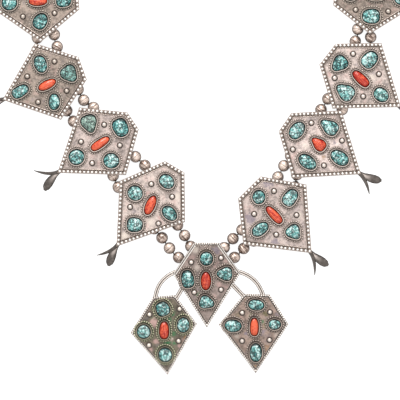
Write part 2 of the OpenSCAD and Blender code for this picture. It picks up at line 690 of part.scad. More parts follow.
// The bar that both strands end in.
module strand_bar(side) {
    low = back_end_y("inner_left");
    translate([side * (clasp_half + bar_t / 2), 0, 0]) difference() {
        translate([-bar_t / 2, low - bead_r, strand_z - bar_h / 2])
            cube([bar_t, bar_gap + bead_d, bar_h]);
        for (y = [low, low + bar_gap])
            translate([0, y, strand_z]) rotate([0, 90, 0])
                cylinder(d = bead_bore, h = 2 * bar_t, center = true);
    }
}

// A hook bent from round wire, over the eye's wire and back under it.
module clasp_hook() {
    shaft = clasp_half + hook_x;
    color(SILVER) union() {
        strand_bar(-1);
        translate([hook_x, back_end_y("inner_left") + bar_gap / 2, strand_z]) {
            rotate([90, 0, 0]) rotate([0, 0, -90]) rotate_extrude(angle = 180, $fn = 48)
                translate([hook_r, 0]) circle(d = hook_d);
            translate([-shaft - bar_t / 2, 0, hook_r]) rotate([0, 90, 0])
                cylinder(d = hook_d, h = shaft + bar_t / 2);
            translate([-hook_r, 0, -hook_r]) rotate([0, 90, 0]) cylinder(d = hook_d, h = hook_r);
            translate([-hook_r, 0, -hook_r]) sphere(d = 1.2 * hook_d);
        }
    }
}

module clasp_eye() {
    color(SILVER) union() {
        strand_bar(1);
        translate([eye_x, back_end_y("inner_left") + bar_gap / 2, strand_z])
            rotate_extrude($fn = 48) translate([eye_d / 2, 0]) circle(d = eye_wire);
    }
}

module stones_on_table(name, coral) {
    color(coral ? CORAL : TURQUOISE) on_table(name) {
        if (coral) cabochon(name, 4);
        else turquoises(name);
    }
}

module stones_leaning(name, coral) {
    color(coral ? CORAL : TURQUOISE) leaning() on_table(name) {
        if (coral) cabochon(name, 4);
        else turquoises(name);
    }
}

medallion("left_1");  // medallion_left_1
medallion("left_2");  // medallion_left_2
medallion("left_3");  // medallion_left_3
medallion("left_4");  // medallion_left_4
medallion("right_1");  // medallion_right_1
medallion("right_2");  // medallion_right_2
medallion("right_3");  // medallion_right_3
medallion("right_4");  // medallion_right_4
stones_on_table("left_1", false);  // turquoise_left_1
stones_on_table("left_2", false);  // turquoise_left_2
stones_on_table("left_3", false);  // turquoise_left_3
stones_on_table("left_4", false);  // turquoise_left_4
stones_on_table("right_1", false);  // turquoise_right_1
stones_on_table("right_2", false);  // turquoise_right_2
stones_on_table("right_3", false);  // turquoise_right_3
stones_on_table("right_4", false);  // turquoise_right_4
stones_on_table("left_1", true);  // coral_left_1
stones_on_table("left_2", true);  // coral_left_2
stones_on_table("left_3", true);  // coral_left_3
stones_on_table("left_4", true);  // coral_left_4
stones_on_table("right_1", true);  // coral_right_1
stones_on_table("right_2", true);  // coral_right_2
stones_on_table("right_3", true);  // coral_right_3
stones_on_table("right_4", true);  // coral_right_4
centre_drop();
stones_leaning("centre", false);  // turquoise_centre
stones_leaning("pendant_left", false);  // turquoise_pendant_left
stones_leaning("pendant_right", false);  // turquoise_pendant_right
stones_leaning("centre", true);  // coral_centre
stones_leaning("pendant_left", true);  // coral_pendant_left
stones_leaning("pendant_right", true);  // coral_pendant_right
beads("inner_left");  // beads_inner_left
beads("inner_right");  // beads_inner_right
beads("outer_left");  // beads_outer_left
beads("outer_right");  // beads_outer_right
thread("inner_left", "inner_right");  // thread_inner
thread("outer_left", "outer_right");  // thread_outer
clasp_hook();
clasp_eye();
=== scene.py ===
"""A squash blossom necklace of old silver, turquoise and coral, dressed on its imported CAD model.

The tables hold millimetres, as the part's source does, and every mesh is made in metres. The
photograph's up is +Y, the table's face is Z = 0, and the camera looks straight down.
"""

import logging
import math
import random
from collections.abc import Callable, Iterable, Sequence
from dataclasses import dataclass, field
from enum import Enum
from typing import Any

import bmesh
import bpy
from mathutils import Matrix, Vector, noise

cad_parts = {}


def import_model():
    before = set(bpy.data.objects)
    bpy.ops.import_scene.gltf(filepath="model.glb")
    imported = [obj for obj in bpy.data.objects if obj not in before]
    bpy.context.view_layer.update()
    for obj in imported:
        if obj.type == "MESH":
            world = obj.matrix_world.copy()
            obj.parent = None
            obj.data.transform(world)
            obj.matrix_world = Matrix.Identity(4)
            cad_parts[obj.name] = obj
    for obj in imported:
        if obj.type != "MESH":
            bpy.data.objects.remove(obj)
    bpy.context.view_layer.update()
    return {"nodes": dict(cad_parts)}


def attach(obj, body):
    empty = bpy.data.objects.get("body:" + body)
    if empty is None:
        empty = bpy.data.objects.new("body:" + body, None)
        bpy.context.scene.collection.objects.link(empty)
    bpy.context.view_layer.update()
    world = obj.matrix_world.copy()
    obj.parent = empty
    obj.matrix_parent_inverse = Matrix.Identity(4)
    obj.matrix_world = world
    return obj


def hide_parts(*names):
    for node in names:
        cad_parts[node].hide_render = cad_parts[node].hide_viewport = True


LOG = logging.getLogger("necklace")
MM = 0.001
BODY = "root"
PAINT_LAYERS = ("shade", "rim", "moss")
SAME_POINT = 0.001 * MM
WELD = 0.002 * MM
STONE_POINTS = 36
ROPE_POINTS = 144
PIXEL_MM = 0.6
PHOTO_X = 205.5
PHOTO_UP = 55.6
CORAL_SEEDS = 20

Colour = tuple[float, float, float]
Points = list[Vector]
Section = tuple[tuple[float, float], ...]


def paint(red: int, green: int, blue: int) -> Colour:
    """Turns a screen colour into the linear colour that a shader takes.

    Args:
        red: Red, 0 to 255.
        green: Green, 0 to 255.
        blue: Blue, 0 to 255.

    Returns:
        The linear colour.
    """
    shares = (red / 255, green / 255, blue / 255)
    return tuple(s / 12.92 if s <= 0.04045 else ((s + 0.055) / 1.055) ** 2.4 for s in shares)


def dimmed(colour: Colour, by: float) -> Colour:
    """Multiplies a colour by a number."""
    return tuple(share * by for share in colour)


class Signal:
    """The output of a shader node, which takes part in sums as a number does."""

    def __init__(self, graph: "Graph", socket: bpy.types.NodeSocket) -> None:
        """Keeps the socket and the graph that it belongs to.

        Args:
            graph: The graph.
            socket: The socket.
        """
        self.graph = graph
        self.socket = socket

    def __add__(self, other: "Signal | float") -> "Signal":
        """Adds a value."""
        return self.graph.maths("ADD", self, other)

    def __sub__(self, other: "Signal | float") -> "Signal":
        """Takes a value away."""
        return self.graph.maths("SUBTRACT", self, other)

    def __rsub__(self, other: "Signal | float") -> "Signal":
        """Is taken away from a value."""
        return self.graph.maths("SUBTRACT", other, self)

    def __mul__(self, other: "Signal | float") -> "Signal":
        """Multiplies by a value."""
        return self.graph.maths("MULTIPLY", self, other)

    __radd__ = __add__
    __rmul__ = __mul__

    def clamped(self) -> "Signal":
        """Keeps the value between 0 and 1."""
        return self.graph.maths("ADD", self, 0.0, clamp=True)

    def larger(self, other: "Signal | float") -> "Signal":
        """Gives the larger of this and another value."""
        return self.graph.maths("MAXIMUM", self, other)

    def step(self, low: float, high: float) -> "Signal":
        """Rises smoothly from 0 at one value to 1 at another, or falls where low is the larger.

        Args:
            low: The value at which the result is 0.
            high: The value at which the result is 1.

        Returns:
            The result.
        """
        settings = {"interpolation_type": "SMOOTHSTEP"}
        if low > high:
            return 1 - self.step(high, low)
        return self.graph.read("ShaderNodeMapRange", settings, {0: self, 1: low, 2: high, 3: 0.0, 4: 1.0})


class Graph:
    """A tree of shader nodes."""

    def __init__(self, owner: bpy.types.Material | bpy.types.World) -> None:
        """Takes the tree of a material or of the world.

        Args:
            owner: The material or the world.
        """
        owner.use_nodes = True
        self.tree = owner.node_tree

    def feed(self, socket: bpy.types.NodeSocket, value: Any) -> None:
        """Gives a socket a link or a fixed value.

        Args:
            socket: The input socket.
            value: A signal, a number, or a colour or vector.
        """
        if isinstance(value, Signal):
            self.tree.links.new(value.socket, socket)
        elif isinstance(value, tuple) and socket.type == "RGBA":
            socket.default_value = (*value, 1.0)
        else:
            socket.default_value = value

    def node(
        self,
        kind: str,
        settings: dict[str, Any] | None = None,
        inputs: dict[int | str, Any] | None = None,
    ) -> bpy.types.Node:
        """Adds one node.

        Args:
            kind: The node's type.
            settings: Its properties, which are set first, and a ramp's stops.
            inputs: What goes into its sockets, by index or name.

        Returns:
            The node.
        """
        node = self.tree.nodes.new(kind)
        for key, value in (settings or {}).items():
            if key != "stops":
                setattr(node, key, value)
                continue
            elements = node.color_ramp.elements
            while len(elements) < len(value):
                elements.new(0.5)
            for element, (position, colour) in zip(elements, value):
                element.position = position
                element.color = (*colour, 1.0)
        for key, value in (inputs or {}).items():
            self.feed(node.inputs[key], value)
        return node

    def read(
        self,
        kind: str,
        settings: dict[str, Any] | None = None,
        inputs: dict[int | str, Any] | None = None,
        output: int | str = 0,
    ) -> Signal:
        """Adds one node and gives one of its outputs.

        Args:
            kind: The node's type.
            settings: Its properties.
            inputs: What goes into its sockets.
            output: The output, by index or name.

        Returns:
            The output.
        """
        return Signal(self, self.node(kind, settings, inputs).outputs[output])

    def maths(self, operation: str, first: Any, second: Any, clamp: bool = False) -> Signal:
        """Adds one Math node and gives its result."""
        settings = {"operation": operation, "use_clamp": clamp}
        return self.read("ShaderNodeMath", settings, {0: first, 1: second})

    def mix(self, share: Any, first: Any, second: Any, mode: str = "MIX") -> Signal:
        """Mixes two colours.

        Args:
            share: How much of the second colour.
            first: The first colour.
            second: The second colour.
            mode: The way of mixing.

        Returns:
            The mixed colour.
        """
        settings = {"data_type": "RGBA", "blend_type": mode}
        return self.read("ShaderNodeMix", settings, {0: share, 6: first, 7: second}, 2)

    def ramp(self, value: Any, stops: Sequence[tuple[float, Colour]]) -> Signal:
        """Turns a value into a colour by way of a ramp's stops."""
        return self.read("ShaderNodeValToRGB", {"stops": stops}, {0: value})

    def vector(self, operation: str, first: Any, second: Any) -> Signal:
        """Adds one Vector Math node and gives its vector."""
        return self.read("ShaderNodeVectorMath", {"operation": operation}, {0: first, 1: second})

    def place(self) -> Signal:
        """Gives the place on the piece in millimetres."""
        at = self.read("ShaderNodeTexCoord", output="Object")
        return self.vector("MULTIPLY", at, (1 / MM, 1 / MM, 1 / MM))

    def turned(self, at: Signal, degrees: float, stretch: tuple[float, float, float]) -> Signal:
        """Turns places about the vertical and then stretches them.

        Args:
            at: The places.
            degrees: The turn.
            stretch: The factor along each turned axis.

        Returns:
            The new places.
        """
        turn = (0.0, 0.0, math.radians(degrees))
        turned = self.read("ShaderNodeMapping", {"vector_type": "POINT"}, {"Vector": at, "Rotation": turn})
        return self.vector("MULTIPLY", turned, stretch)

    def noise(self, at: Signal, size: float, detail: float = 2.0, rough: float = 0.5) -> Signal:
        """Gives a cloudy value of a mean of one half.

        Args:
            at: The places.
            size: The size of one cloud, in the unit of the places.
            detail: How many finer layers it has.
            rough: How strong they are.

        Returns:
            The value.
        """
        inputs = {"Vector": at, "Scale": 1 / size, "Detail": detail, "Roughness": rough}
        return self.read("ShaderNodeTexNoise", None, inputs)

    def layer(self, name: str) -> Signal:
        """Reads a value that the mesh holds at its points."""
        settings = {"attribute_name": name, "attribute_type": "GEOMETRY"}
        return self.read("ShaderNodeAttribute", settings, output="Fac")

    def upward(self) -> Signal:
        """Gives how far the surface faces up: 1 on top, 0 on a wall and -1 below."""
        return self.height_of(self.read("ShaderNodeNewGeometry", output="Normal"))

    def height_of(self, vector: Signal) -> Signal:
        """Gives the upward share of a vector."""
        return self.read("ShaderNodeSeparateXYZ", None, {0: vector}, "Z")

    def openness(self, reach: float) -> Signal:
        """Gives how open the surroundings are within a reach in millimetres: 0 in a closed corner."""
        return self.read("ShaderNodeAmbientOcclusion", {"samples": 6}, {"Distance": reach * MM}, "AO")

    def bump(self, height: Signal, depth: float, normal: Signal | None = None) -> Signal:
        """Raises a relief.

        Args:
            height: The height, 0 to 1.
            depth: The height in millimetres that 1 stands for.
            normal: A relief that this one comes on top of.

        Returns:
            The normal.
        """
        inputs = {"Strength": 1.0, "Distance": depth * MM, "Height": height}
        if normal is not None:
            inputs["Normal"] = normal
        return self.read("ShaderNodeBump", None, inputs)


class FinishGraph(Graph):
    """The nodes of one material, which feed its shader."""

    def __init__(self, name: str) -> None:
        """Makes the material with a new output and shader alone.

        Args:
            name: The material's name.
        """
        self.material = bpy.data.materials.new(name)
        super().__init__(self.material)
        self.tree.nodes.clear()
        output = self.node("ShaderNodeOutputMaterial")
        self.shader = self.node("ShaderNodeBsdfPrincipled")
        self.tree.links.new(self.shader.outputs[0], output.inputs[0])

    def finish(self, **sockets: Any) -> bpy.types.Material:
        """Feeds the shader and gives the material.

        Args:
            **sockets: The shader's sockets, with _ for a space.

        Returns:
            The material.
        """
        for key, value in sockets.items():
            self.feed(self.shader.inputs[key.replace("_", " ")], value)
        return self.material


class Tarnish(Enum):
    """The kinds of stain on the old silver, each with its colour."""

    VERDIGRIS = paint(72, 128, 86)
    OLIVE = paint(106, 104, 60)
    GOLD = paint(178, 136, 92)
    CREAM = paint(240, 226, 212)
    PINK = paint(216, 178, 170)
    VIOLET = paint(150, 138, 150)
    SMOKE = paint(78, 66, 58)


class SheetAge(Enum):
    """How far age has dulled a plate's sheet, as the colour that it has on the whole."""

    BRIGHT = paint(198, 182, 175)
    WORN = paint(188, 173, 165)
    CLOUDED = paint(179, 164, 157)
    GREY = paint(148, 134, 123)
    DUSKY = paint(143, 128, 121)
    SMOKED = paint(147, 128, 117)
    GREENED = paint(106, 98, 84)


@dataclass(frozen=True)
class Stain:
    """One stain on a plate: its place in millimetres on the table, its radius and its strength."""

    kind: Tarnish
    x: float
    y: float
    radius: float
    strength: float


@dataclass(frozen=True)
class AgedSilver:
    """Old silver sheet: warm, clouded, with a few stains, patina and painted shade in its corners, and
    painted shade on edges that turn away from the top.
    """

    name: str
    age: SheetAge = SheetAge.WORN
    shadow: Colour = paint(58, 47, 40)
    metal: float = 0.55
    roughness: float = 0.44
    reach: float = 0.9
    depth: float = 0.05
    cloud_size: float = 6.5
    speck_size: float = 1.5
    tint_size: float = 4.5
    scratch_size: float = 0.5
    fray: float = 2.4
    stains: tuple[Stain, ...] = ()

    def material(self) -> bpy.types.Material:
        """Makes the finish."""
        graph = FinishGraph(self.name)
        at = graph.place()
        clouds = graph.noise(at, self.cloud_size, 3.0, 0.55)
        specks = graph.noise(at, self.speck_size, 3.0, 0.7)
        pale = tuple(min(1.0, share) for share in dimmed(self.age.value, 1.65))
        dull = dimmed(self.age.value, 0.5)
        colour = graph.mix((clouds * 0.75 + specks * 0.95).step(0.55, 1.13), dull, pale)
        tint = graph.noise(graph.vector("ADD", at, (31.0, 7.0, 3.0)), self.tint_size, 2.0)
        colour = graph.mix(tint.step(0.55, 0.75) * 0.3, colour, Tarnish.VIOLET.value)
        colour = graph.mix(tint.step(0.45, 0.28) * 0.35, colour, Tarnish.PINK.value)
        for stain in self.stains:
            colour = graph.mix(self.spot(graph, at, specks + clouds, stain), colour, stain.kind.value)
        # Painted shade, with patina in the closed corners: darker in closed corners and on faces that turn
        # away from the top.
        closed = graph.openness(self.reach).step(0.85, 0.2)
        under = graph.upward().step(0.75, 0.0)
        dark = (closed * 0.65).larger(under * 0.8) * (0.75 + specks * 0.5)
        colour = graph.mix((dark * 0.85).clamped(), colour, self.shadow)
        scratches = graph.noise(graph.turned(at, 40.0, (0.4, 2.4, 1.0)), self.scratch_size, 2.0)
        relief = graph.bump(scratches, self.depth * 0.5, graph.bump(specks, self.depth))
        return graph.finish(
            Base_Color=colour,
            Metallic=self.metal,
            Roughness=(self.roughness + (specks - 0.5) * 0.3).clamped(),
            Normal=relief,
        )

    def spot(self, graph: Graph, at: Signal, noise: Signal, stain: Stain) -> Signal:
        """Gives the mask of one stain.

        Args:
            graph: The material's graph.
            at: The places in millimetres.
            noise: The sum of two noises, which frays the stain's edge.
            stain: The stain.

        Returns:
            The mask, 0 to its strength.
        """
        flat = graph.vector("MULTIPLY", at, (1.0, 1.0, 0.0))
        middle = (stain.x, stain.y, 0.0)
        away = graph.read("ShaderNodeVectorMath", {"operation": "DISTANCE"}, {0: flat, 1: middle}, "Value")
        ragged = away * (1 / stain.radius) + (noise - 1.0) * self.fray
        return ragged.step(1.2, 0.3) * stain.strength


@dataclass(frozen=True)
class TrimSilver:
    """Wires, ropes and balls: a painted highlight on their tops, painted shade on their walls, and painted
    shade with patina in their hollows.
    """

    name: str
    bright: Colour = paint(226, 210, 198)
    middle: Colour = paint(166, 147, 135)
    shadow: Colour = paint(54, 43, 37)
    metal: float = 0.5
    roughness: float = 0.36
    low: float = 0.1
    high: float = 0.9
    reach: float = 0.6
    speck_size: float = 0.8

    def material(self) -> bpy.types.Material:
        """Makes the finish."""
        graph = FinishGraph(self.name)
        specks = graph.noise(graph.place(), self.speck_size, 2.0)
        # Painted highlight and shade: the colour goes from shadow on walls to bright on tops, by how far the
        # surface faces up.
        top = (graph.upward() + (specks - 0.5) * 0.24).step(self.low, self.high)
        colour = graph.mix(top.step(0.0, 0.5), self.shadow, self.middle)
        colour = graph.mix(top.step(0.4, 0.9), colour, self.bright)
        # Painted shade with patina in closed hollows, and painted shade wherever the rim layer is set.
        closed = graph.openness(self.reach).step(0.6, 0.1)
        colour = graph.mix(((closed * 0.6).larger(graph.layer("rim")) * 0.95).clamped(), colour, self.shadow)
        return graph.finish(
            Base_Color=colour,
            Metallic=self.metal,
            Roughness=(self.roughness + (specks - 0.5) * 0.2).clamped(),
            Normal=graph.bump(specks, 0.03),
        )


@dataclass(frozen=True)
class Crevice:
    """The dark brown of the hollows between wires, ropes and balls: patina, with painted shade where the
    hollows lie in shadow.
    """

    name: str
    brown: Colour = paint(82, 68, 59)
    black: Colour = paint(46, 37, 32)
    speck_size: float = 0.9

    def material(self) -> bpy.types.Material:
        """Makes the finish."""
        graph = FinishGraph(self.name)
        specks = graph.noise(graph.place(), self.speck_size, 3.0)
        colour = graph.mix(specks.step(0.35, 0.65), self.black, self.brown)
        return graph.finish(Base_Color=colour, Metallic=0.3, Roughness=0.6, Normal=graph.bump(specks, 0.03))


@dataclass(frozen=True)
class BrushedBead:
    """A hollow silver bead: tan, brushed across, dark at its seam and its ends, with painted shade on its
    sides, its underside and its hollows.
    """

    name: str
    light: Colour = paint(246, 225, 211)
    tan: Colour = paint(130, 106, 94)
    umber: Colour = paint(88, 70, 60)
    shadow: Colour = paint(48, 36, 30)
    roughness: float = 0.4
    brush: tuple[float, float, float] = (0.2, 1.15, 0.6)
    brush_turns: tuple[float, float] = (45.0, -38.0)
    cloud_size: float = 3.2
    reach: float = 1.2

    def material(self) -> bpy.types.Material:
        """Makes the finish."""
        graph = FinishGraph(self.name)
        at = graph.place()
        shade = graph.layer("shade")
        one, other = (graph.noise(graph.turned(at, turn, self.brush), 1.0, 2.0) for turn in self.brush_turns)
        pick = shade.step(0.45, 0.55)
        lines = one * (1 - pick) + other * pick
        clouds = graph.noise(at, self.cloud_size, 2.0)
        bright = (lines * 1.3 + clouds * 0.4 + (shade - 0.5) * 0.2).step(0.58, 0.98)
        colour = graph.mix(bright, self.tan, self.light)
        seam = graph.layer("rim")
        # Painted shade: darker where the bead turns away from the top and where it is closed in.
        low = (graph.upward() + (clouds - 0.5) * 0.3).step(0.86, 0.4)
        closed = graph.openness(self.reach).step(0.6, 0.15)
        colour = graph.mix(low * 0.95, colour, self.umber)
        colour = graph.mix((closed.larger(seam * 0.8) * 0.92).clamped(), colour, self.shadow)
        return graph.finish(
            Base_Color=colour,
            Metallic=0.6,
            Roughness=(self.roughness + (clouds - 0.5) * 0.2).clamped(),
            Normal=graph.bump(lines, 0.07),
        )


@dataclass(frozen=True)
class PetalSilver:
    """The petals' silver: smoke-dark, with a painted highlight as a lighter stripe that fades along the
    middle, and painted shade at the edges.
    """

    name: str
    light: Colour = paint(226, 212, 203)
    smoke: Colour = paint(94, 87, 82)
    shadow: Colour = paint(46, 40, 37)
    roughness: float = 0.42
    cloud_size: float = 2.2

    def material(self) -> bpy.types.Material:
        """Makes the finish."""
        graph = FinishGraph(self.name)
        clouds = graph.noise(graph.place(), self.cloud_size, 3.0)
        along = graph.layer("shade")
        across = graph.layer("rim")
        # Painted highlight: a lighter stripe down the middle, near the root.
        stripe = across.step(0.75, 0.1) * along.step(0.75, 0.2)
        colour = graph.mix((stripe + (clouds - 0.5) * 0.6).clamped(), self.smoke, self.light)
        # Painted shade at the edges and in closed corners.
        edge = across.step(0.7, 1.0).larger(graph.openness(1.0).step(0.8, 0.3))
        colour = graph.mix(edge * 0.8, colour, self.shadow)
        return graph.finish(
            Base_Color=colour,
            Metallic=0.6,
            Roughness=(self.roughness + (clouds - 0.5) * 0.3).clamped(),
            Normal=graph.bump(clouds, 0.06),
        )


@dataclass(frozen=True)
class Turquoise:
    """Matrix turquoise: pale, aqua and teal grains between dark, branching veins."""

    name: str
    pale: Colour = paint(214, 243, 239)
    aqua: Colour = paint(134, 200, 194)
    teal: Colour = paint(66, 142, 140)
    deep: Colour = paint(26, 74, 76)
    vein_and_shadow: Colour = paint(16, 26, 26)
    moss: Colour = paint(150, 168, 148)
    grain: float = 1.7
    warp: float = 1.7
    vein_size: float = 1.5
    reach: float = 1.1
    coat_roughness: float = 0.12

    def material(self) -> bpy.types.Material:
        """Makes the finish."""
        graph = FinishGraph(self.name)
        at = graph.place()
        swirl = graph.read("ShaderNodeTexNoise", None, {"Vector": at, "Scale": 0.9, "Detail": 3.0}, "Color")
        bent = graph.vector("ADD", at, graph.vector("MULTIPLY", swirl, (self.warp, self.warp, self.warp)))
        inputs = {"Vector": bent, "Scale": 1 / self.grain}
        edge = graph.read("ShaderNodeTexVoronoi", {"feature": "DISTANCE_TO_EDGE"}, inputs, "Distance")
        cell = graph.read("ShaderNodeTexVoronoi", {"feature": "F1"}, inputs, "Color")
        fine = graph.noise(bent, 1.0, 2.0, 0.6)
        shade = graph.layer("shade")
        rim = graph.layer("rim")
        tone = fine * 1.2 + cell * 0.55 + (shade - 0.5) * 0.3
        stops = ((0.54, self.deep), (0.66, self.teal), (0.83, self.aqua), (1.0, self.pale))
        colour = graph.ramp(tone - 0.05, stops)
        colour = graph.mix(graph.layer("moss") * 0.65, colour, self.moss)
        webs = edge.step(0.22, 0.08) * graph.noise(at, 2.4, 2.0).step(0.38, 0.52)
        veins = webs.larger(graph.noise(at, self.vein_size, 2.0, 0.7).step(0.575, 0.64))
        colour = graph.mix((veins * 0.85).clamped(), colour, self.vein_and_shadow)
        # Painted shadow: a dark outline at the stone's edge, wider on the side towards the table's +Y where
        # the bezel's shadow falls, and painted shade in closed corners.
        closed = graph.openness(self.reach).step(0.9, 0.25)
        colour = graph.mix((closed * 0.8).larger(rim.step(0.89, 1.0) * 0.88), colour, self.vein_and_shadow)
        return graph.finish(
            Base_Color=colour,
            Roughness=(0.34 + veins * 0.3).clamped(),
            Coat_Weight=0.1,
            Coat_Roughness=self.coat_roughness,
            Normal=graph.bump(fine - veins * 0.8, 0.07),
        )


@dataclass(frozen=True)
class Coral:
    """Polished coral: orange red with paler streaks along its length."""

    name: str
    light: Colour = paint(236, 104, 68)
    red: Colour = paint(168, 26, 16)
    deep: Colour = paint(104, 26, 18)
    drawn: float = 0.12
    streak_size: float = 0.55
    reach: float = 0.9
    coat_roughness: float = 0.1

    def material(self) -> bpy.types.Material:
        """Makes the finish."""
        graph = FinishGraph(self.name)
        at = graph.place()
        drawn = graph.vector("MULTIPLY", at, (self.drawn, self.drawn, self.drawn))
        streaks = graph.vector("ADD", drawn, graph.layer("moss"))
        clouds = graph.noise(streaks, self.streak_size, 2.0, 0.5)
        fine = graph.noise(at, 1.1, 2.0)
        rim = graph.layer("rim")
        tone = clouds * 0.9 + fine * 0.6 + (graph.layer("shade") - 0.5) * 0.4
        colour = graph.mix(tone.step(0.62, 0.88), self.red, self.light)
        # Painted shadow: a dark outline at the stone's edge, wider towards the table's +Y, and painted shade
        # in closed corners.
        closed = graph.openness(self.reach).step(0.85, 0.25)
        colour = graph.mix(closed.larger(rim.step(0.9, 1.0)) * 0.85, colour, self.deep)
        return graph.finish(
            Base_Color=colour,
            Roughness=(0.3 + (fine - 0.5) * 0.2).clamped(),
            Coat_Weight=0.15,
            Coat_Roughness=self.coat_roughness,
            Normal=graph.bump(clouds, 0.05),
        )


@dataclass(frozen=True)
class TwistedThread:
    """The brown thread of a strand."""

    name: str
    light: Colour = paint(150, 132, 112)
    dark: Colour = paint(70, 56, 46)

    def material(self) -> bpy.types.Material:
        """Makes the finish."""
        graph = FinishGraph(self.name)
        plies = graph.noise(graph.turned(graph.place(), 30.0, (1.0, 4.0, 2.0)), 0.5, 2.0)
        colour = graph.mix(plies.step(0.35, 0.65), self.dark, self.light)
        return graph.finish(Base_Color=colour, Roughness=0.85, Normal=graph.bump(plies, 0.1))


@dataclass(frozen=True)
class LitPaper:
    """The white, matt table, lit a little from below, so that nothing throws a hard shadow on it."""

    name: str
    white: Colour = paint(160, 160, 160)
    off_white: Colour = paint(154, 153, 152)
    glow: float = 0.92

    def material(self) -> bpy.types.Material:
        """Makes the finish."""
        graph = FinishGraph(self.name)
        grain = graph.noise(graph.place(), 30.0, 3.0)
        colour = graph.mix(grain * 0.2, self.white, self.off_white)
        return graph.finish(
            Base_Color=colour, Roughness=0.95, Emission_Color=(1.0, 1.0, 1.0), Emission_Strength=self.glow
        )


def unit_left(step: Vector) -> Vector:
    """Gives the unit vector to the left of a step on the table."""
    return Vector((-step.y, step.x, 0.0)).normalized()


def heading_of(step: Vector) -> Matrix:
    """Gives the turn about the vertical that brings x onto a step on the table."""
    return Matrix.Rotation(math.atan2(step.y, step.x), 4, "Z")


def inset(points: Points, by: float) -> Points:
    """Moves every edge of a closed outline inwards.

    Args:
        points: The outline, anticlockwise.
        by: The distance, which may be negative.

    Returns:
        The new outline.
    """
    moved = []
    for index, point in enumerate(points):
        before = unit_left(point - points[index - 1])
        after = unit_left(points[(index + 1) % len(points)] - point)
        moved.append(point + by * (before + after) / (1 + before.dot(after)))
    return moved


def lifted(points: Points, height: float) -> Points:
    """Gives the same outline at a height."""
    return [Vector((point.x, point.y, height)) for point in points]


def smoothed(points: Points, count: int) -> Points:
    """Runs a smooth closed curve through points.

    Args:
        points: The corners, in order.
        count: How many points the curve gets.

    Returns:
        The points of the curve.
    """
    total = len(points)
    curve = []
    for step in range(count):
        index, t = divmod(step * total / count, 1)
        a, b, c, d = (points[(int(index) + k) % total] for k in (-1, 0, 1, 2))
        cubic = (3 * b - a - 3 * c + d) * t**3
        curve.append(0.5 * (2 * b + (c - a) * t + (2 * a - 5 * b + 4 * c - d) * t**2 + cubic))
    return curve


def evenly(points: Points, count: int) -> Points:
    """Spreads points evenly along a closed outline.

    Args:
        points: The outline.
        count: How many points to spread.

    Returns:
        The points, the first of them the outline's first.
    """
    steps = [(points[(i + 1) % len(points)] - point).length for i, point in enumerate(points)]
    pitch = sum(steps) / count
    spread = []
    index, gone = 0, 0.0
    for number in range(count):
        while index < len(steps) - 1 and gone + steps[index] < number * pitch:
            gone += steps[index]
            index += 1
        share = (number * pitch - gone) / steps[index]
        spread.append(points[index].lerp(points[(index + 1) % len(points)], share))
    return spread


def facings(outline: Points, up: Vector) -> list[float]:
    """Gives for each point of an outline how far it lies towards a direction, seen from the middle.

    Args:
        outline: The outline.
        up: The direction.

    Returns:
        A share for each point, 0 for all of the far side.
    """
    middle = sum(outline, Vector()) / len(outline)
    return [max(0.0, (point - middle).xy.normalized().dot(up.xy)) for point in outline]


def around(points: Points) -> Points:
    """Puts the points of a convex outline in order about their middle."""
    middle = sum(points, Vector()) / len(points)
    return sorted(points, key=lambda point: math.atan2(point.y - middle.y, point.x - middle.x))


def new_part() -> bmesh.types.BMesh:
    """Starts an empty part with the value layers that the finishes read."""
    part = bmesh.new()
    for name in PAINT_LAYERS:
        part.verts.layers.float.new(name)
    return part


def loft(
    part: bmesh.types.BMesh,
    rings: Sequence[Points],
    capped: bool = True,
    rim: Callable[[int, int], float] | None = None,
) -> list[list[bmesh.types.BMVert]]:
    """Draws a skin through rings by extruding the first ring on from each to the next.

    Args:
        part: The part that the skin is made in.
        rings: The rings, each of the same number of points.
        capped: Whether both ends are closed. Otherwise the last ring is welded to the first.
        rim: Gives the darkness that a point is painted with, by its ring and its place in the ring.

    Returns:
        The points of each ring.
    """
    count = len(rings[0])
    ring = list(bmesh.ops.create_circle(part, cap_ends=capped, segments=count, radius=1.0)["verts"])
    for vert, point in zip(ring, rings[0]):
        vert.co = point
    made = [ring]
    for points in rings[1:]:
        order = {vert: index for index, vert in enumerate(ring)}
        edges = [part.edges.get((vert, ring[index - 1])) for index, vert in enumerate(ring)]
        grown = bmesh.ops.extrude_edge_only(part, edges=edges)["geom"]
        ring = list(ring)
        for vert in grown:
            if isinstance(vert, bmesh.types.BMVert):
                beside = (edge.other_vert(vert) for edge in vert.link_edges)
                index = next(order[other] for other in beside if other in order)
                vert.co = points[index]
                ring[index] = vert
        made.append(ring)
    if rim is not None:
        layer = part.verts.layers.float["rim"]
        for number, ring in enumerate(made):
            for index, vert in enumerate(ring):
                vert[layer] = rim(number, index)
    if capped:
        part.faces.new(made[-1])
    else:
        bmesh.ops.remove_doubles(part, verts=made[0] + made[-1], dist=WELD)
    return made


def paint_layer(
    part: bmesh.types.BMesh, verts: Iterable[bmesh.types.BMVert], name: str, value: float
) -> None:
    """Writes one value to points.

    Args:
        part: The part.
        verts: Its points.
        name: The layer's name.
        value: The value.
    """
    layer = part.verts.layers.float[name]
    for vert in verts:
        vert[layer] = value


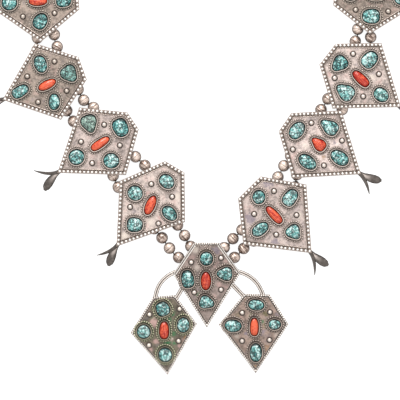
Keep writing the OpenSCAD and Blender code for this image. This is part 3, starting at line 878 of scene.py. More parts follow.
def turn_section(
    part: bmesh.types.BMesh,
    section: Sequence[tuple[float, float]],
    steps: int,
    rims: Iterable[tuple[int, float]] = (),
) -> None:
    """Turns a closed section about the x axis.

    Args:
        part: The part that the skin is made in.
        section: The points of the section, each its place along the axis and its distance from it.
        steps: How many steps the full turn has.
        rims: The darkness that some points are painted with, each after the point's place in the section.
    """
    verts = [part.verts.new(Vector((x, 0.0, reach)) * MM) for x, reach in section]
    for index, dark in rims:
        paint_layer(part, [verts[index]], "rim", dark)
    edges = [part.edges.new((verts[index - 1], vert)) for index, vert in enumerate(verts)]
    bmesh.ops.spin(
        part, geom=verts + edges, cent=(0, 0, 0), axis=(1, 0, 0), angle=math.tau, steps=steps, use_merge=True
    )


def new_object(name: str, data: bpy.types.ID) -> bpy.types.Object:
    """Puts a mesh, a light or a camera into the scene as an object."""
    made = bpy.data.objects.new(name, data)
    bpy.context.scene.collection.objects.link(made)
    return made


class Stamp:
    """A small shape that is repeated many times."""

    def __init__(self, part: bmesh.types.BMesh) -> None:
        """Keeps the finished shape as a mesh.

        Args:
            part: The shape, which is freed.
        """
        bmesh.ops.recalc_face_normals(part, faces=part.faces)
        self.mesh = bpy.data.meshes.new("stamp")
        part.to_mesh(self.mesh)
        part.free()

    def press(self, part: bmesh.types.BMesh, place: Matrix) -> list[bmesh.types.BMVert]:
        """Adds the shape to a part.

        Args:
            part: The part.
            place: Where and how the shape comes.

        Returns:
            The new points.
        """
        part.from_mesh(self.mesh)
        part.verts.ensure_lookup_table()
        fresh = part.verts[-len(self.mesh.vertices):]
        bmesh.ops.transform(part, matrix=place, verts=fresh)
        return fresh

    @staticmethod
    def ball(radius: float, stretch: float = 1.0) -> "Stamp":
        """Makes a ball of a few dozen faces.

        Args:
            radius: Its radius.
            stretch: The factor by which it is drawn out along x.

        Returns:
            The stamp.
        """
        part = new_part()
        bmesh.ops.create_uvsphere(part, u_segments=8, v_segments=6, radius=radius * MM)
        bmesh.ops.scale(part, vec=Vector((stretch, 1.0, 1.0)), verts=part.verts)
        return Stamp(part)

    @staticmethod
    def lay(length: float, width: float) -> "Stamp":
        """Makes one turn of a twisted wire: a ball drawn out along x."""
        return Stamp.ball(width / 2, length / width)

    @staticmethod
    def bar(length: float, width: float, height: float) -> "Stamp":
        """Makes a short bar along x with its upper edges rounded off.

        Args:
            length: Its length.
            width: Its width.
            height: Its height.

        Returns:
            The stamp.
        """
        part = new_part()
        bmesh.ops.create_cube(part, size=1.0)
        bmesh.ops.scale(part, vec=Vector((length, width, height)) * MM, verts=part.verts)
        top = [edge for edge in part.edges if all(vert.co.z > 0 for vert in edge.verts)]
        bmesh.ops.bevel(
            part, geom=top, offset=0.34 * width * MM, affect="EDGES", segments=2, profile=0.5, material=-1
        )
        return Stamp(part)


class Workpiece:
    """One piece in the making, with a finish for each part that is added to it."""

    def __init__(self, name: str) -> None:
        """Starts the piece empty.

        Args:
            name: The piece's name.
        """
        self.name = name
        self.mesh = new_part()
        self.finishes: list[bpy.types.Material] = []

    def add(
        self, part: bmesh.types.BMesh, finish: bpy.types.Material, place: Matrix | None = None
    ) -> None:
        """Joins a part to the piece and frees it.

        Args:
            part: The part, whose faces are turned outwards first.
            finish: Its finish.
            place: Where it comes, if it was made about its own middle.
        """
        if finish not in self.finishes:
            self.finishes.append(finish)
        bmesh.ops.recalc_face_normals(part, faces=part.faces)
        for face in part.faces:
            face.material_index = self.finishes.index(finish)
            face.smooth = True
        if place is not None:
            part.transform(place)
        loose = bpy.data.meshes.new("loose")
        part.to_mesh(loose)
        part.free()
        self.mesh.from_mesh(loose)
        bpy.data.meshes.remove(loose)

    def deliver(self, nodes: Sequence[str], crease: float = 38.0) -> None:
        """Makes the object, attaches it to the body and hides the CAD nodes that it stands for.

        Args:
            nodes: The CAD nodes that it replaces.
            crease: The angle in degrees from which an edge is sharp.
        """
        mesh = bpy.data.meshes.new(self.name)
        self.mesh.to_mesh(mesh)
        self.mesh.free()
        for finish in self.finishes:
            mesh.materials.append(finish)
        mesh.set_sharp_from_angle(angle=math.radians(crease))
        piece = new_object(self.name, mesh)
        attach(piece, BODY)
        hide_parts(*nodes)
        LOG.info("%s: %d faces", self.name, len(mesh.polygons))


class LooseSolid:
    """One loose solid of a CAD node, read from the frame."""

    back_depth = 0.05 * MM

    def __init__(self, verts: Sequence[bmesh.types.BMVert]) -> None:
        """Keeps the solid's points and the walls of its faces.

        Args:
            verts: The points that belong to it.
        """
        self.points = [vert.co.copy() for vert in verts]
        faces = {face for vert in verts for face in vert.link_faces}
        self.walls = [(face.calc_center_median(), face.normal.copy(), face.calc_area()) for face in faces]
        low = Vector(min(point[axis] for point in self.points) for axis in range(3))
        high = Vector(max(point[axis] for point in self.points) for axis in range(3))
        self.middle = (low + high) / 2

    @staticmethod
    def all_of(node: bpy.types.Object) -> list["LooseSolid"]:
        """Finds the loose solids of a node.

        Args:
            node: The CAD node, which is left as it is.

        Returns:
            Its solids.
        """
        copy = bmesh.new()
        copy.from_mesh(node.data)
        bmesh.ops.remove_doubles(copy, verts=copy.verts, dist=SAME_POINT)
        solids = []
        seen: set[bmesh.types.BMVert] = set()
        for start in copy.verts:
            if start in seen:
                continue
            seen.add(start)
            reached = [start]
            for vert in reached:
                for edge in vert.link_edges:
                    other = edge.other_vert(vert)
                    if other not in seen:
                        seen.add(other)
                        reached.append(other)
            solids.append(LooseSolid(reached))
        copy.free()
        return solids

    def outline(self, place: Matrix) -> Points:
        """Gives the outline of a stone's flat back.

        Args:
            place: The frame of the plate that it sits on.

        Returns:
            The outline in that frame, anticlockwise and level.
        """
        local = [place.inverted() @ point for point in self.points]
        floor = min(point.z for point in local)
        back = [point for point in local if point.z < floor + self.back_depth]
        return around(lifted(back, 0.0))

    def bore_axis(self) -> Vector:
        """Gives the direction of a bead's bore: the walls that face inwards all stand across it.

        Returns:
            The direction. A tie goes by place or direction, so that every run takes the same wall.
        """
        inward = [wall for wall in self.walls if (wall[0] - self.middle).dot(wall[1]) < 0]
        largest = max(inward, key=lambda wall: (wall[2], *wall[0]))[1]
        crossed = (largest.cross(normal) for _, normal, _ in inward)
        return max(crossed, key=lambda axis: (axis.length, *axis)).normalized()


@dataclass(frozen=True)
class PlateRow:
    """One plate: where it lies, its age and stains, and what sets its forms and stones apart."""

    name: str
    x: float
    y: float
    turn: float
    shares: tuple[float, float, float, float]
    skews: tuple[tuple[float, float], ...]
    balls: tuple[tuple[float, float], ...]
    age: SheetAge
    shades: tuple[float, float, float, float]
    moss: tuple[float, float, float, float] = (0.0, 0.0, 0.0, 0.0)
    orange: float = 0.5
    bows: tuple[float, float] = (1.0, 1.0)
    stains: tuple[Stain, ...] = ()


@dataclass(frozen=True)
class EdgeWire:
    """A wire along a plate's outline: how far inside it begins, its width and its height over the sheet."""

    start: float
    width: float
    height: float


@dataclass
class Plate:
    """A five-sided silver plate with its five bezels, four half balls and a border."""

    row: PlateRow
    tip: float = 30.5
    wing: float = 23.2
    head: float = 21.6
    blunt: float = 7.0
    lie: Matrix = field(default_factory=Matrix)
    thickness: float = 1.2
    plate_z: float = 7.5
    stone_gap: float = 0.14
    bezel_h: float = 2.1
    bezel_t: float = 0.7
    rope_at: float = 1.62
    rope_z: float = 0.3
    lays: float = 1.42
    slant: float = 38.0
    least_lays: int = 12
    seat_w: float = 2.2
    stone_shade: float = 0.55
    tooth_in: float = 0.6
    tooth_z: float = 0.18
    ball_d: float = 3.1
    flange_d: float = 3.9
    flange_sides: int = 14
    wire_section: Section = (
        (0.0, -0.2), (0.0, 0.5), (0.25, 0.9), (0.5, 1.0), (0.75, 0.9), (1.0, 0.5), (1.0, -0.2),
    )
    outlines: list[Points] = field(default_factory=list)

    def __post_init__(self) -> None:
        """Works out the plate's own lengths and its place."""
        tip, wing, head, blunt = self.row.shares
        self.tip *= tip
        self.wing *= wing
        self.head *= head
        self.blunt *= blunt
        move = Matrix.Translation(Vector((self.row.x, self.row.y, self.plate_z)) * MM)
        self.place = self.lie @ move @ Matrix.Rotation(math.radians(self.row.turn), 4, "Z")

    def corners(self) -> Points:
        """Gives the five corners, the tip first, each as far off the even shape as hand work left it."""
        shoulders = ((self.head, -self.blunt), (self.head, self.blunt))
        even = ((-self.tip, 0), (0, -self.wing), *shoulders, (0, self.wing))
        back = Matrix.Rotation(math.radians(-self.row.turn), 3, "Z")
        return [
            (Vector((x, y, 0.0)) + back @ Vector((*skew, 0.0))) * MM
            for (x, y), skew in zip(even, self.row.skews)
        ]

    def upward(self) -> Vector:
        """Gives the direction of the photograph's up in the plate's own frame."""
        return (self.place.to_3x3().inverted() @ Vector((0.0, 1.0, 0.0))).normalized()

    def read_stones(self, nodes: Iterable[bpy.types.Object]) -> None:
        """Reads the outlines of the plate's stones from their CAD nodes."""
        for node in nodes:
            for solid in LooseSolid.all_of(node):
                self.outlines.append(smoothed(solid.outline(self.place), STONE_POINTS))

    def sheet(self, rim: float) -> bmesh.types.BMesh:
        """Makes the sheet with rounded edges.

        Args:
            rim: How far the sheet stays inside the outline.

        Returns:
            The part.
        """
        part = new_part()
        steps = ((0.2, 0.0), (0.0, 0.2), (0.0, self.thickness - 0.25), (0.25, self.thickness))
        loft(part, [lifted(inset(self.corners(), (rim + by) * MM), z * MM) for by, z in steps])
        return part

    def set_over(self, outline: Points, inside: float, height: float) -> Points:
        """Gives an outline moved inwards and set at a height over the sheet, both in millimetres."""
        return lifted(inset(outline, inside * MM), (self.thickness + height) * MM)

    def wire_lines(self, wire: EdgeWire) -> list[Points]:
        """Gives the line round the plate that each point of a wire's section draws.

        Args:
            wire: The wire.

        Returns:
            The lines, in the order of the section.
        """
        return [
            self.set_over(self.corners(), wire.start + wire.width * by, wire.height * up)
            for by, up in self.wire_section
        ]

    def wire(self, wire: EdgeWire) -> bmesh.types.BMesh:
        """Makes a wire that follows the plate's whole outline.

        Args:
            wire: The wire.

        Returns:
            The part.
        """
        part = new_part()
        lines = self.wire_lines(wire)
        loft(part, [*lines, lines[0]], capped=False)
        return part

    def bars(self, sides: Iterable[int], wire: EdgeWire) -> bmesh.types.BMesh:
        """Makes a straight wire along each of some sides, mitred at the corners.

        Args:
            sides: The sides, by the number of the corner that each begins at.
            wire: The wire.

        Returns:
            The part.
        """
        part = new_part()
        lines = self.wire_lines(wire)
        for side in sides:
            loft(part, [[line[side] for line in lines], [line[(side + 1) % len(line)] for line in lines]])
        return part

    def bead_row(
        self, stamp: Stamp, inside: float, pitch: float, height: float, seed: int
    ) -> bmesh.types.BMesh:
        """Sets balls along the outline, side by side, one at every corner.

        Args:
            stamp: The ball.
            inside: How far inside the outline their centres lie.
            pitch: The distance from one to the next.
            height: The height of their centres over the sheet.
            seed: The seed of their small differences.

        Returns:
            The part.
        """
        part = new_part()
        rng = random.Random(seed)
        middle = self.set_over(self.corners(), inside, height)
        for index, corner in enumerate(middle):
            step = middle[(index + 1) % len(middle)] - corner
            count = round(step.length / MM / pitch)
            for number in range(count):
                at = corner + step * (number + rng.uniform(-0.04, 0.04) * bool(number)) / count
                size = Matrix.Scale(rng.uniform(0.94, 1.03), 4)
                turn = Matrix.Rotation(rng.uniform(0, 1), 4, "Z")
                stamp.press(part, Matrix.Translation(at) @ turn @ size)
        return part

    def teeth(self, stamp: Stamp, sides: Iterable[int], pitch: float, seed: int) -> bmesh.types.BMesh:
        """Sets short bars across the edge, as a milled wire shows them.

        Args:
            stamp: The bar, which lies along x.
            sides: The sides that get them, by the number of the corner that each begins at.
            pitch: The distance from one to the next.
            seed: The seed of their small differences.

        Returns:
            The part.
        """
        part = new_part()
        rng = random.Random(seed)
        line = self.set_over(self.corners(), self.tooth_in, self.tooth_z)
        for side in sides:
            step = line[(side + 1) % len(line)] - line[side]
            count = round(step.length / MM / pitch)
            inward = unit_left(step)
            for number in range(count):
                at = line[side] + step * (number + 0.5) / count + inward * rng.uniform(-0.12, 0.06) * MM
                size = Matrix.Scale(rng.uniform(0.88, 1.02), 4)
                stamp.press(part, Matrix.Translation(at) @ heading_of(inward) @ size)
        return part

    def bezels(self) -> bmesh.types.BMesh:
        """Makes the plain cups, each with a thin rim left light as a painted highlight, painted shade on its
        walls, and painted shadow on the side towards the table's +Y.
        """
        part = new_part()
        inner = self.stone_gap + 0.04
        outer = self.stone_gap + self.bezel_t
        profile = (
            (inner, -0.1, 1.0), (inner, 0.8, 1.0), (inner + 0.06, 0.95, 0.6),
            (inner + 0.14, 1.0, 0.0), (outer - 0.14, 0.98, 0.0), (outer - 0.05, 0.86, 0.6),
            (outer, 0.4, 1.0), (outer + 0.04, -0.1, 1.0), (inner, -0.1, 1.0),
        )
        for outline in self.outlines:
            # Painted shade on the walls and painted shadow towards the table's +Y; the top of the rim stays
            # light as a painted highlight.
            shade = [self.stone_shade * share for share in facings(outline, self.upward())]
            rings = [self.set_over(outline, -out, self.bezel_h * up) for out, up, _ in profile]
            darkness = [[min(1.0, dark + share) for share in shade] for _, _, dark in profile]
            loft(part, rings, False, lambda ring, index, darkness=darkness: darkness[ring][index])
        return part

    def seats(self) -> bmesh.types.BMesh:
        """Makes the low ring of solder that each rope lies in."""
        part = new_part()
        start = self.stone_gap + self.bezel_t - 0.05
        end = self.seat_w
        profile = ((start, -0.2), (start, 0.07), (end, 0.05), (end + 0.1, -0.2), (start, -0.2))
        for outline in self.outlines:
            loft(part, [self.set_over(outline, -out, up) for out, up in profile], capped=False)
        return part

    def ropes(self, stamp: Stamp) -> bmesh.types.BMesh:
        """Lays a twisted wire round each bezel, one slanted turn after the other.

        Args:
            stamp: One turn of the wire, which lies along x.

        Returns:
            The part.
        """
        part = new_part()
        slant = Matrix.Rotation(math.radians(self.slant), 4, "Z")
        for outline in self.outlines:
            track = inset(outline, -self.rope_at * MM)
            length = sum((track[i] - track[i - 1]).length for i in range(len(track))) / MM
            lays = max(self.least_lays, round(length / self.lays))
            way = lifted(evenly(smoothed(track, ROPE_POINTS), lays), (self.thickness + self.rope_z) * MM)
            for index, here in enumerate(way):
                heading = heading_of(way[(index + 1) % len(way)] - way[index - 1])
                stamp.press(part, Matrix.Translation(here) @ heading @ slant)
        return part

    def half_balls(self) -> bmesh.types.BMesh:
        """Makes the four soldered half balls, each on a flange: the flange and the balls' low sides are dark
        as patina and painted shade.
        """
        part = new_part()
        radius = self.ball_d / 2
        flange = self.flange_d / 2
        top = self.thickness
        profile = [(flange, top - 0.2, 1.0), (flange, top + 0.06, 1.0), (radius + 0.06, top + 0.1, 1.0)]
        # Painted shade with patina: the flange and the low sides are dark; the finish adds a painted
        # highlight on top.
        for degrees, dark in ((14, 1.0), (26, 0.7), (38, 0.1), (56, 0.0), (76, 0.0)):
            tilt = math.radians(degrees)
            profile.append((radius * math.cos(tilt), top + radius * math.sin(tilt), dark))
        for along, across in self.row.balls:
            x = along * (self.head if along > 0 else self.tip)
            rings = [self.circle(x, across * self.wing, reach, z) for reach, z, _ in profile]
            loft(part, rings, True, lambda ring, _: profile[ring][2])
        return part

    def circle(self, x: float, y: float, radius: float, z: float) -> Points:
        """Gives a level circle from millimetres, in metres."""
        angles = (math.tau * spoke / self.flange_sides for spoke in range(self.flange_sides))
        return [Vector((x + radius * math.cos(a), y + radius * math.sin(a), z)) * MM for a in angles]

    def furnish(self, piece: Workpiece, finishes: "Finishes") -> None:
        """Adds the cups, their ropes and the half balls to the piece that the plate is part of.

        Args:
            piece: The piece in the making.
            finishes: The finishes.
        """
        trim = finishes.trims[self.row.age]
        piece.add(self.seats(), trim.seat, self.place)
        piece.add(self.bezels(), trim.bezel, self.place)
        piece.add(self.ropes(finishes.lay), trim.rope, self.place)
        piece.add(self.half_balls(), trim.half_ball, self.place)


@dataclass(frozen=True)
class Shank:
    """A loop soldered under a plate, bored for one strand: its place and its width along it."""

    strand: str
    x: float
    y: float
    width: float = 1.6
    radius: float = 3.5
    bore: float = 1.2
    strand_z: float = 3.6
    steps: int = 24

    def part(self, heading: float, top: float) -> bmesh.types.BMesh:
        """Makes the loop and the post that carries it.

        Args:
            heading: The direction of the strand, in radians.
            top: The height at which the post ends.

        Returns:
            The part, in its place.
        """
        part = new_part()
        half = self.width / 2
        profile = (
            (-half, self.bore), (-half, self.radius - 0.2), (0.2 - half, self.radius),
            (half - 0.2, self.radius), (half, self.radius - 0.2), (half, self.bore),
        )
        turn_section(part, profile, self.steps)
        rise = top - self.strand_z - self.radius * 0.6
        post = bmesh.ops.create_cube(part, size=1.0)["verts"]
        bmesh.ops.scale(part, vec=Vector((self.width * 0.98, self.radius, rise)) * MM, verts=post)
        bmesh.ops.translate(part, vec=Vector((0, 0, top - self.strand_z - rise / 2)) * MM, verts=post)
        move = Matrix.Translation(Vector((self.x, self.y, self.strand_z)) * MM)
        part.transform(move @ Matrix.Rotation(heading, 4, "Z"))
        return part


@dataclass
class Petals:
    """The two petals of a squash blossom: a broad dished leaf and a narrow one that stands on edge."""

    tip: Vector
    leaf_bow: float
    blade_bow: float
    root: float = 3.0
    leaf_l: float = 12.4
    blade_l: float = 11.0
    bend: float = 34.0
    sheet_z: float = 1.05
    leaf_t: float = 0.85
    dish: float = 0.55
    blade_deep: float = 3.2
    leaf_steps: int = 20
    blade_steps: int = 14
    rounded_from: float = 0.86
    leaf_widths: tuple[float, ...] = (2.6, 2.4, 2.9, 4.0, 4.9, 5.2, 4.6, 2.2)
    blade_widths: tuple[float, ...] = (2.7, 2.5, 2.3, 2.2, 2.0, 1.7, 1.2, 0.4)
    leaf_top: Section = ((-1, 0.0), (-0.75, -0.3), (-0.4, -0.8), (0, -1), (0.4, -0.8), (0.75, -0.3), (1, 0.0))
    leaf_under: Section = ((0.8, -0.3), (0, -1), (-0.8, -0.3))
    leaf_rims: tuple[float, ...] = (1, 0.75, 0.4, 0, 0.4, 0.75, 1, 0.8, 0.8, 0.8)
    blade_section: Section = (
        (-0.6, 0), (0.6, 0), (1, -0.2), (1, -0.8), (0.6, -1), (-0.6, -1), (-1, -0.8), (-1, -0.2),
    )

    def place(self) -> Matrix:
        """Gives the petals' own frame: x runs out from the plate's tip."""
        move = Matrix.Translation(self.tip + Vector((self.root * MM, 0, 0)))
        return move @ Matrix.Rotation(math.pi, 4, "Z")

    @staticmethod
    def width_at(widths: Sequence[float], share: float) -> float:
        """Reads a width between the listed ones, eased at each."""
        index = min(int(share * (len(widths) - 1)), len(widths) - 2)
        t = share * (len(widths) - 1) - index
        return widths[index] + (widths[index + 1] - widths[index]) * t * t * (3 - 2 * t)

    def fall(self, along: float) -> float:
        """Gives how high the bent metal's top is at a distance from the root."""
        return self.sheet_z - self.bend + math.sqrt(self.bend**2 - along**2)

    def leaf(self) -> bmesh.types.BMesh:
        """Makes the broad petal: a thin dished leaf with a thick rounded end."""
        part = new_part()
        length = self.leaf_l + self.root
        rings = []
        for step in range(self.leaf_steps + 1):
            share = step / self.leaf_steps
            width = self.width_at(self.leaf_widths, share)
            if share > self.rounded_from:
                end = (share - self.rounded_from) / (1 - self.rounded_from)
                width *= math.sqrt(max(0.02, 1 - end**2)) * 0.45 + 0.55
            rings.append(self.leaf_ring(share, length, width))
        made = loft(part, rings)
        # The rim layer holds how far across the leaf a point lies, for the finish's painted highlight in the
        # middle and painted shade at the edges.
        shade = part.verts.layers.float["shade"]
        rim = part.verts.layers.float["rim"]
        for step, ring in enumerate(made):
            for vert, across in zip(ring, self.leaf_rims):
                vert[shade] = step / self.leaf_steps
                vert[rim] = across
        return part

    def leaf_ring(self, share: float, length: float, width: float) -> Points:
        """Makes one cross-section of the leaf.

        Args:
            share: How far along the leaf it is, 0 to 1.
            length: The leaf's length.
            width: Its width there.

        Returns:
            The section, its dished top first.
        """
        along = Vector((length, 2 * self.leaf_bow * share, 0.0))
        aside = unit_left(along)
        middle = Vector((length * share, self.leaf_bow * share * share, 0.0))
        dish = self.dish * math.sin(math.pi * min(1.0, share * 1.05)) ** 0.7
        fall = self.fall(middle.x)
        heights = [(side, fall + dish * up - 0.05) for side, up in self.leaf_top]
        heights += [(side, fall - self.leaf_t + dish * (up + 0.2) * 0.5) for side, up in self.leaf_under]
        return [(middle + aside * width / 2 * side + Vector((0, 0, z))) * MM for side, z in heights]

    def blade(self) -> bmesh.types.BMesh:
        """Makes the narrow petal, a strap on edge that curls away from the leaf."""
        part = new_part()
        length = self.blade_l + self.root
        rings = []
        for step in range(self.blade_steps + 1):
            share = step / self.blade_steps
            aside = unit_left(Vector((length, 2 * self.blade_bow * share, 0.0)))
            middle = Vector((length * share, self.blade_bow * share * share, self.fall(length * share)))
            half = self.width_at(self.blade_widths, share) / 2
            deep = self.blade_deep * (1 - 0.55 * share**3)
            ring = [middle + aside * half * x + Vector((0, 0, deep * z)) for x, z in self.blade_section]
            rings.append([point * MM for point in ring])
        # The whole blade takes an edge's rim value, so its finish gives it painted shade.
        for ring in loft(part, rings):
            paint_layer(part, ring, "rim", 0.8)
        return part


@dataclass
class StoneSet:
    """The cabochons of one CAD node: turquoise or coral."""

    name: str
    node: str
    plate: Plate
    tall: float = 3.2
    girdle: float = 0.8
    floor: float = 1.34
    rises: tuple[int, ...] = (10, 20, 31, 42, 54, 66, 78, 86)
    unevenness: float = 0.16
    streaked: bool = False
    seed: int = 0

    def build(
        self,
        source: bpy.types.Object,
        finish: bpy.types.Material,
        slot: str,
        shades: Sequence[float] = (0.5,),
        moss: Sequence[float] = (0.0,),
    ) -> None:
        """Cuts the stones and delivers them as one piece.

        Args:
            source: The CAD node that holds the stones' outlines.
            finish: Their finish.
            slot: Not used.
            shades: How light each stone is, 0 to 1: at the head, the left wing, the right wing and the tip.
            moss: How grey-green each is, in the same order.
        """
        piece = Workpiece(self.name)
        part = new_part()
        for index, solid in enumerate(self.ranked(LooseSolid.all_of(source))):
            outline = smoothed(solid.outline(self.plate.place), STONE_POINTS)
            fresh = self.cut(part, outline, self.seed * 8 + index)
            paint_layer(part, fresh, "shade", shades[index])
            if self.streaked:
                self.paint_across(part, fresh, outline)
            else:
                paint_layer(part, fresh, "moss", moss[index])
        piece.add(part, finish, self.plate.place)
        piece.deliver([self.node], crease=60)

    @staticmethod
    def paint_across(
        part: bmesh.types.BMesh, verts: Iterable[bmesh.types.BMVert], outline: Points
    ) -> None:
        """Writes how far each point lies from the stone's long axis, in millimetres, for its streaks.

        Args:
            part: The part.
            verts: The stone's points.
            outline: Its outline.
        """
        middle = sum(outline, Vector()) / len(outline)
        along = (max(outline, key=lambda point: (point - middle).length) - middle).normalized()
        layer = part.verts.layers.float["moss"]
        for vert in verts:
            away = vert.co - middle
            vert[layer] = (along.x * away.y - along.y * away.x) / MM

    def ranked(self, solids: list[LooseSolid]) -> list[LooseSolid]:
        """Puts a plate's stones in order: at the head, the left wing, the right wing and the tip.

        Args:
            solids: The stones as the CAD has them.

        Returns:
            The same stones in order.
        """
        flat = self.plate.place.inverted()
        along = sorted(solids, key=lambda solid: -(flat @ solid.middle).x)
        wings = sorted(along[1:-1], key=lambda solid: -(flat @ solid.middle).y)
        return [*along[:1], *wings, *along[1:][-1:]]

    def cut(self, part: bmesh.types.BMesh, outline: Points, seed: int) -> list[bmesh.types.BMVert]:
        """Cuts one stone: a straight girdle under a low, slightly uneven dome.

        Args:
            part: The part that it is made in.
            outline: Its outline.
            seed: The seed of its unevenness.

        Returns:
            Its points.
        """
        middle = sum(outline, Vector()) / len(outline)
        rings = [lifted(outline, self.floor * MM), lifted(outline, (self.floor + self.girdle) * MM)]
        shrinks = [1.0, 1.0]
        for degrees in self.rises:
            tilt = math.radians(degrees)
            shrink = math.cos(tilt) ** 0.9
            up = self.girdle + (self.tall - self.girdle) * math.sin(tilt)
            ring = [middle + (point - middle) * shrink for point in outline]
            rings.append([self.uneven(point, self.floor + up, seed, shrink) for point in ring])
            shrinks.append(shrink)
        # Painted shadow: the rim layer rises towards the stone's edge, and more on the side towards the
        # table's +Y, where the bezel's shadow falls.
        shade = facings(outline, self.plate.upward())
        made = loft(part, rings, True, lambda ring, index: shrinks[ring] * (1 + 0.12 * shade[index]))
        return [vert for ring in made for vert in ring]

    def uneven(self, point: Vector, height: float, seed: int, shrink: float) -> Vector:
        """Lifts a point to its height on the dome, a little off true as hand cutting leaves it."""
        bump = noise.noise(Vector((point.x / MM * 0.35, point.y / MM * 0.35, seed * 3.1)))
        return Vector((point.x, point.y, (height + self.unevenness * bump * (1 - shrink)) * MM))


@dataclass
class BeadStrand:
    """Half a strand of round hollow beads, each of two halves soldered together."""

    name: str
    node: str
    radius: float = 3.6
    bore: float = 1.0
    seam: float = 0.13
    steps: int = 14
    seed: int = 0
    centres: list[Vector] = field(default_factory=list)

    def stamp(self) -> Stamp:
        """Turns one bead about its bore, with a seam round its middle and a lip at each end."""
        part = new_part()
        half = ((3.44, self.bore), (3.28, 1.5), (2.62, 2.47), (1.45, 3.295), (0.28, 3.59))
        section = [*half, (0.0, self.radius - self.seam), *((-x, reach) for x, reach in reversed(half))]
        rims = ((len(half), 1.0), (0, 0.8), (len(section) - 1, 0.8))
        turn_section(part, section, self.steps, rims)
        return Stamp(part)

    def build(self, source: bpy.types.Object, finish: bpy.types.Material) -> None:
        """Strings the beads where the CAD has them.

        Args:
            source: The CAD node of the beads.
            finish: Their finish.
        """
        rng = random.Random(self.seed)
        stamp = self.stamp()
        piece = Workpiece(self.name)
        part = new_part()
        for solid in LooseSolid.all_of(source):
            self.centres.append(solid.middle)
            heading = Vector((1, 0, 0)).rotation_difference(solid.bore_axis()).to_matrix().to_4x4()
            roll = Matrix.Rotation(rng.uniform(0, math.tau), 4, "X")
            fresh = stamp.press(part, Matrix.Translation(solid.middle) @ heading @ roll)
            paint_layer(part, fresh, "shade", rng.random())
        piece.add(part, finish)
        piece.deliver([self.node], crease=50)

    def heading_at(self, x: float, y: float) -> float:
        """Gives the direction of the strand at a place between two beads.

        Args:
            x: The place, in millimetres.
            y: The place, in millimetres.

        Returns:
            The direction in radians.
        """
        here = Vector((x * MM, y * MM, 0.0))
        first, second = sorted(self.centres, key=lambda centre: (centre.xy - here.xy).length)[:2]
        return math.atan2(second.y - first.y, second.x - first.x)


@dataclass(frozen=True)
class PairedWire:
    """Two round wires soldered side by side: from, to and how far the middle bows out."""

    start: tuple[float, float]
    end: tuple[float, float]
    bow: float
    wire_d: float = 1.4
    height: float = 7.9
    steps: int = 12
    sides: int = 10

    def part(self) -> bmesh.types.BMesh:
        """Makes both wires on the table, before the drop leans."""
        part = new_part()
        start = Vector((*self.start, self.height))
        chord = Vector((*self.end, self.height)) - start
        for side in (-0.45, 0.45):
            rings = []
            for step in range(self.steps + 1):
                share = step / self.steps
                aside = unit_left(chord)
                line = start + chord * share + aside * self.bow * 4 * share * (1 - share)
                slope = chord + aside * self.bow * 4 * (1 - 2 * share)
                middle = line + unit_left(slope) * side * self.wire_d
                rings.append(self.ring(middle, unit_left(slope)))
            loft(part, rings)
        return part

    def ring(self, middle: Vector, aside: Vector) -> Points:
        """Gives one round section of a wire, in metres."""
        angles = (math.tau * spoke / self.sides for spoke in range(self.sides))
        up = Vector((0, 0, 1))
        return [(middle + (aside * math.cos(a) + up * math.sin(a)) * self.wire_d / 2) * MM for a in angles]


@dataclass
class SideMedallion:
    """One medallion of the strands: a plate with a border of balls, two petals and two shanks."""

    row: PlateRow
    shanks: tuple[Shank, ...]
    ball_at: float = 1.1
    ball_z: float = -0.225
    pitch: float = 2.45
    sheet_in: float = 0.63
    edge: EdgeWire = EdgeWire(0.0, 0.7, 0.06)
    ledge: EdgeWire = EdgeWire(0.6, 1.2, 0.05)
    groove: EdgeWire = EdgeWire(1.75, 0.6, 0.05)
    line: EdgeWire = EdgeWire(2.4, 0.45, 0.45)
    leaf_bow: float = 3.2
    blade_bow: float = -7.7
    post_in: float = 0.4
    seed: int = 0

    def build(
        self, nodes: dict[str, bpy.types.Object], strands: dict[str, BeadStrand], finishes: "Finishes"
    ) -> Plate:
        """Builds and delivers the medallion.

        Args:
            nodes: The frame's nodes.
            strands: The bead strands, by name.
            finishes: The finishes.

        Returns:
            Its plate.
        """
        name = self.row.name
        plate = Plate(self.row)
        plate.read_stones(nodes[f"{stone}_{name}"] for stone in ("turquoise", "coral"))
        sheet = AgedSilver(f"silver_sheet_{name}", self.row.age, stains=self.row.stains).material()
        piece = Workpiece(f"plate_{name}")
        piece.add(plate.sheet(self.sheet_in), sheet, plate.place)
        piece.add(plate.wire(self.edge), finishes.edge, plate.place)
        piece.add(plate.wire(self.ledge), finishes.ledge, plate.place)
        # A dark strip inside the border of balls: patina and painted shade between the balls and the line
        # wire.
        piece.add(plate.wire(self.groove), finishes.groove, plate.place)
        balls = plate.bead_row(finishes.border_ball, self.ball_at, self.pitch, self.ball_z, self.seed)
        piece.add(balls, finishes.border, plate.place)
        piece.add(plate.wire(self.line), finishes.line, plate.place)
        plate.furnish(piece, finishes)
        leaf, blade = self.row.bows
        petals = Petals(plate.corners()[0], self.leaf_bow * leaf, self.blade_bow * blade)
        piece.add(petals.leaf(), finishes.petal, plate.place @ petals.place())
        piece.add(petals.blade(), finishes.petal, plate.place @ petals.place())
        for shank in self.shanks:
            heading = strands[shank.strand].heading_at(shank.x, shank.y)
            piece.add(shank.part(heading, plate.plate_z + self.post_in), finishes.lit_shaded_wire)
        piece.deliver([f"medallion_{name}"])
        return plate


